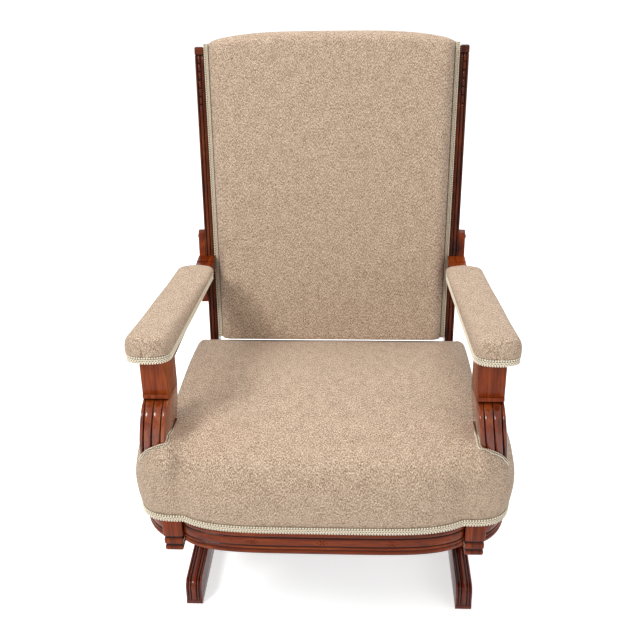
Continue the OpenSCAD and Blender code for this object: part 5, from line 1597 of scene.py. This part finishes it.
def set_floor():
    """White paper on the floor, shown as bright as the background."""
    s = FLOOR_HALF / MM
    floor = mesh_object("floor", [(-s, -s, 0), (s, -s, 0), (s, s, 0), (-s, s, 0)], [], [(0, 1, 2, 3)])
    m, t, bsdf, _ = new_material("floor_paper")
    fill(t, bsdf, {"Base Color": (0.93, 0.93, 0.93, 1), "Roughness": 0.9, "Specular IOR Level": 0.0,
                   "Emission Color": (1, 1, 1, 1), "Emission Strength": times(t, seen_rays(t), FLOOR_LIFT)})
    floor.data.materials.append(m)


def set_world(scene):
    scene.world = bpy.data.worlds.new("studio")
    scene.world.use_nodes = True
    t = scene.world.node_tree
    fill(t, t.nodes["Background"], {"Strength": plus(t, (seen_rays(t), 1 - AMBIENT), AMBIENT), "Color": (1, 1, 1, 1)})


def set_lamps(scene):
    for name, place, aim, size, power in LAMPS:
        data = bpy.data.lights.new(name, "AREA")
        data.size, data.energy = size, power
        lamp = bpy.data.objects.new(name, data)
        lamp.location = place
        lamp.rotation_euler = (Vector(aim) - Vector(place)).to_track_quat("-Z", "Y").to_euler()
        scene.collection.objects.link(lamp)


def set_camera(scene):
    """Camera at the photograph's place: 26.9 degrees down, just to the right of the middle."""
    pitch, yaw, roll = (math.radians(a) for a in (PITCH, YAW, ROLL))
    forward = Vector((math.sin(yaw) * math.cos(pitch), math.cos(yaw) * math.cos(pitch), -math.sin(pitch)))
    level = Vector((math.cos(yaw), -math.sin(yaw), 0))
    up = level.cross(forward)
    right = level * math.cos(roll) + up * math.sin(roll)
    up = -level * math.sin(roll) + up * math.cos(roll)
    data = bpy.data.cameras.new("photo_view")
    data.sensor_width, data.sensor_fit = SENSOR, "HORIZONTAL"
    data.lens = PHOTO_FOCAL * SENSOR / PHOTO_SIDE
    data.shift_x = (PHOTO_SIDE / 2 - PHOTO_X) / PHOTO_SIDE
    data.shift_y = (PHOTO_Y - PHOTO_SIDE / 2) / PHOTO_SIDE
    data.clip_end = 50
    cam = bpy.data.objects.new("photo_view", data)
    turn = Matrix((right, up, -forward)).transposed().to_4x4()
    cam.matrix_world = Matrix.Translation(CAMERA_PLACE) @ turn
    scene.collection.objects.link(cam)
    scene.camera = cam


class ROCKER_OT_stage(PieceOperator, bpy.types.Operator):
    """Set the floor, the lamps, the world and the camera"""
    bl_idname = "rocker.stage"
    bl_label = "Stage"

    def build(self, context):
        scene = context.scene
        scene.view_settings.view_transform = "Standard"
        set_floor()
        set_world(scene)
        set_lamps(scene)
        set_camera(scene)


class ROCKER_PT_panel(bpy.types.Panel):
    """Lists the chair's sizes, colours and building steps"""
    bl_label = "Platform Rocker"
    bl_idname = "ROCKER_PT_panel"
    bl_space_type = "VIEW_3D"
    bl_region_type = "UI"
    bl_category = "Rocker"

    def draw(self, context):
        scene = context.scene
        for group in (scene.rocker_sizes, scene.rocker_finish):
            for key in group.__annotations__:
                self.layout.prop(group, key)
        for cls in OPERATORS:
            self.layout.operator(cls.bl_idname)


OPERATORS = (ROCKER_OT_materials, ROCKER_OT_seat, ROCKER_OT_back, ROCKER_OT_pads, ROCKER_OT_supports,
             ROCKER_OT_rails, ROCKER_OT_springs, ROCKER_OT_underside, ROCKER_OT_stage)
CLASSES = (RockerSizes, RockerFinish) + OPERATORS + (ROCKER_PT_panel,)


def register():
    for cls in CLASSES:
        bpy.utils.register_class(cls)
    bpy.types.Scene.rocker_sizes = bpy.props.PointerProperty(type=RockerSizes)
    bpy.types.Scene.rocker_finish = bpy.props.PointerProperty(type=RockerFinish)


def unregister():
    del bpy.types.Scene.rocker_finish
    del bpy.types.Scene.rocker_sizes
    for cls in reversed(CLASSES):
        bpy.utils.unregister_class(cls)


def main():
    register()
    for cls in OPERATORS:
        group, call = cls.bl_idname.split(".")
        getattr(getattr(bpy.ops, group), call)()


if __name__ == "__main__":
    main()
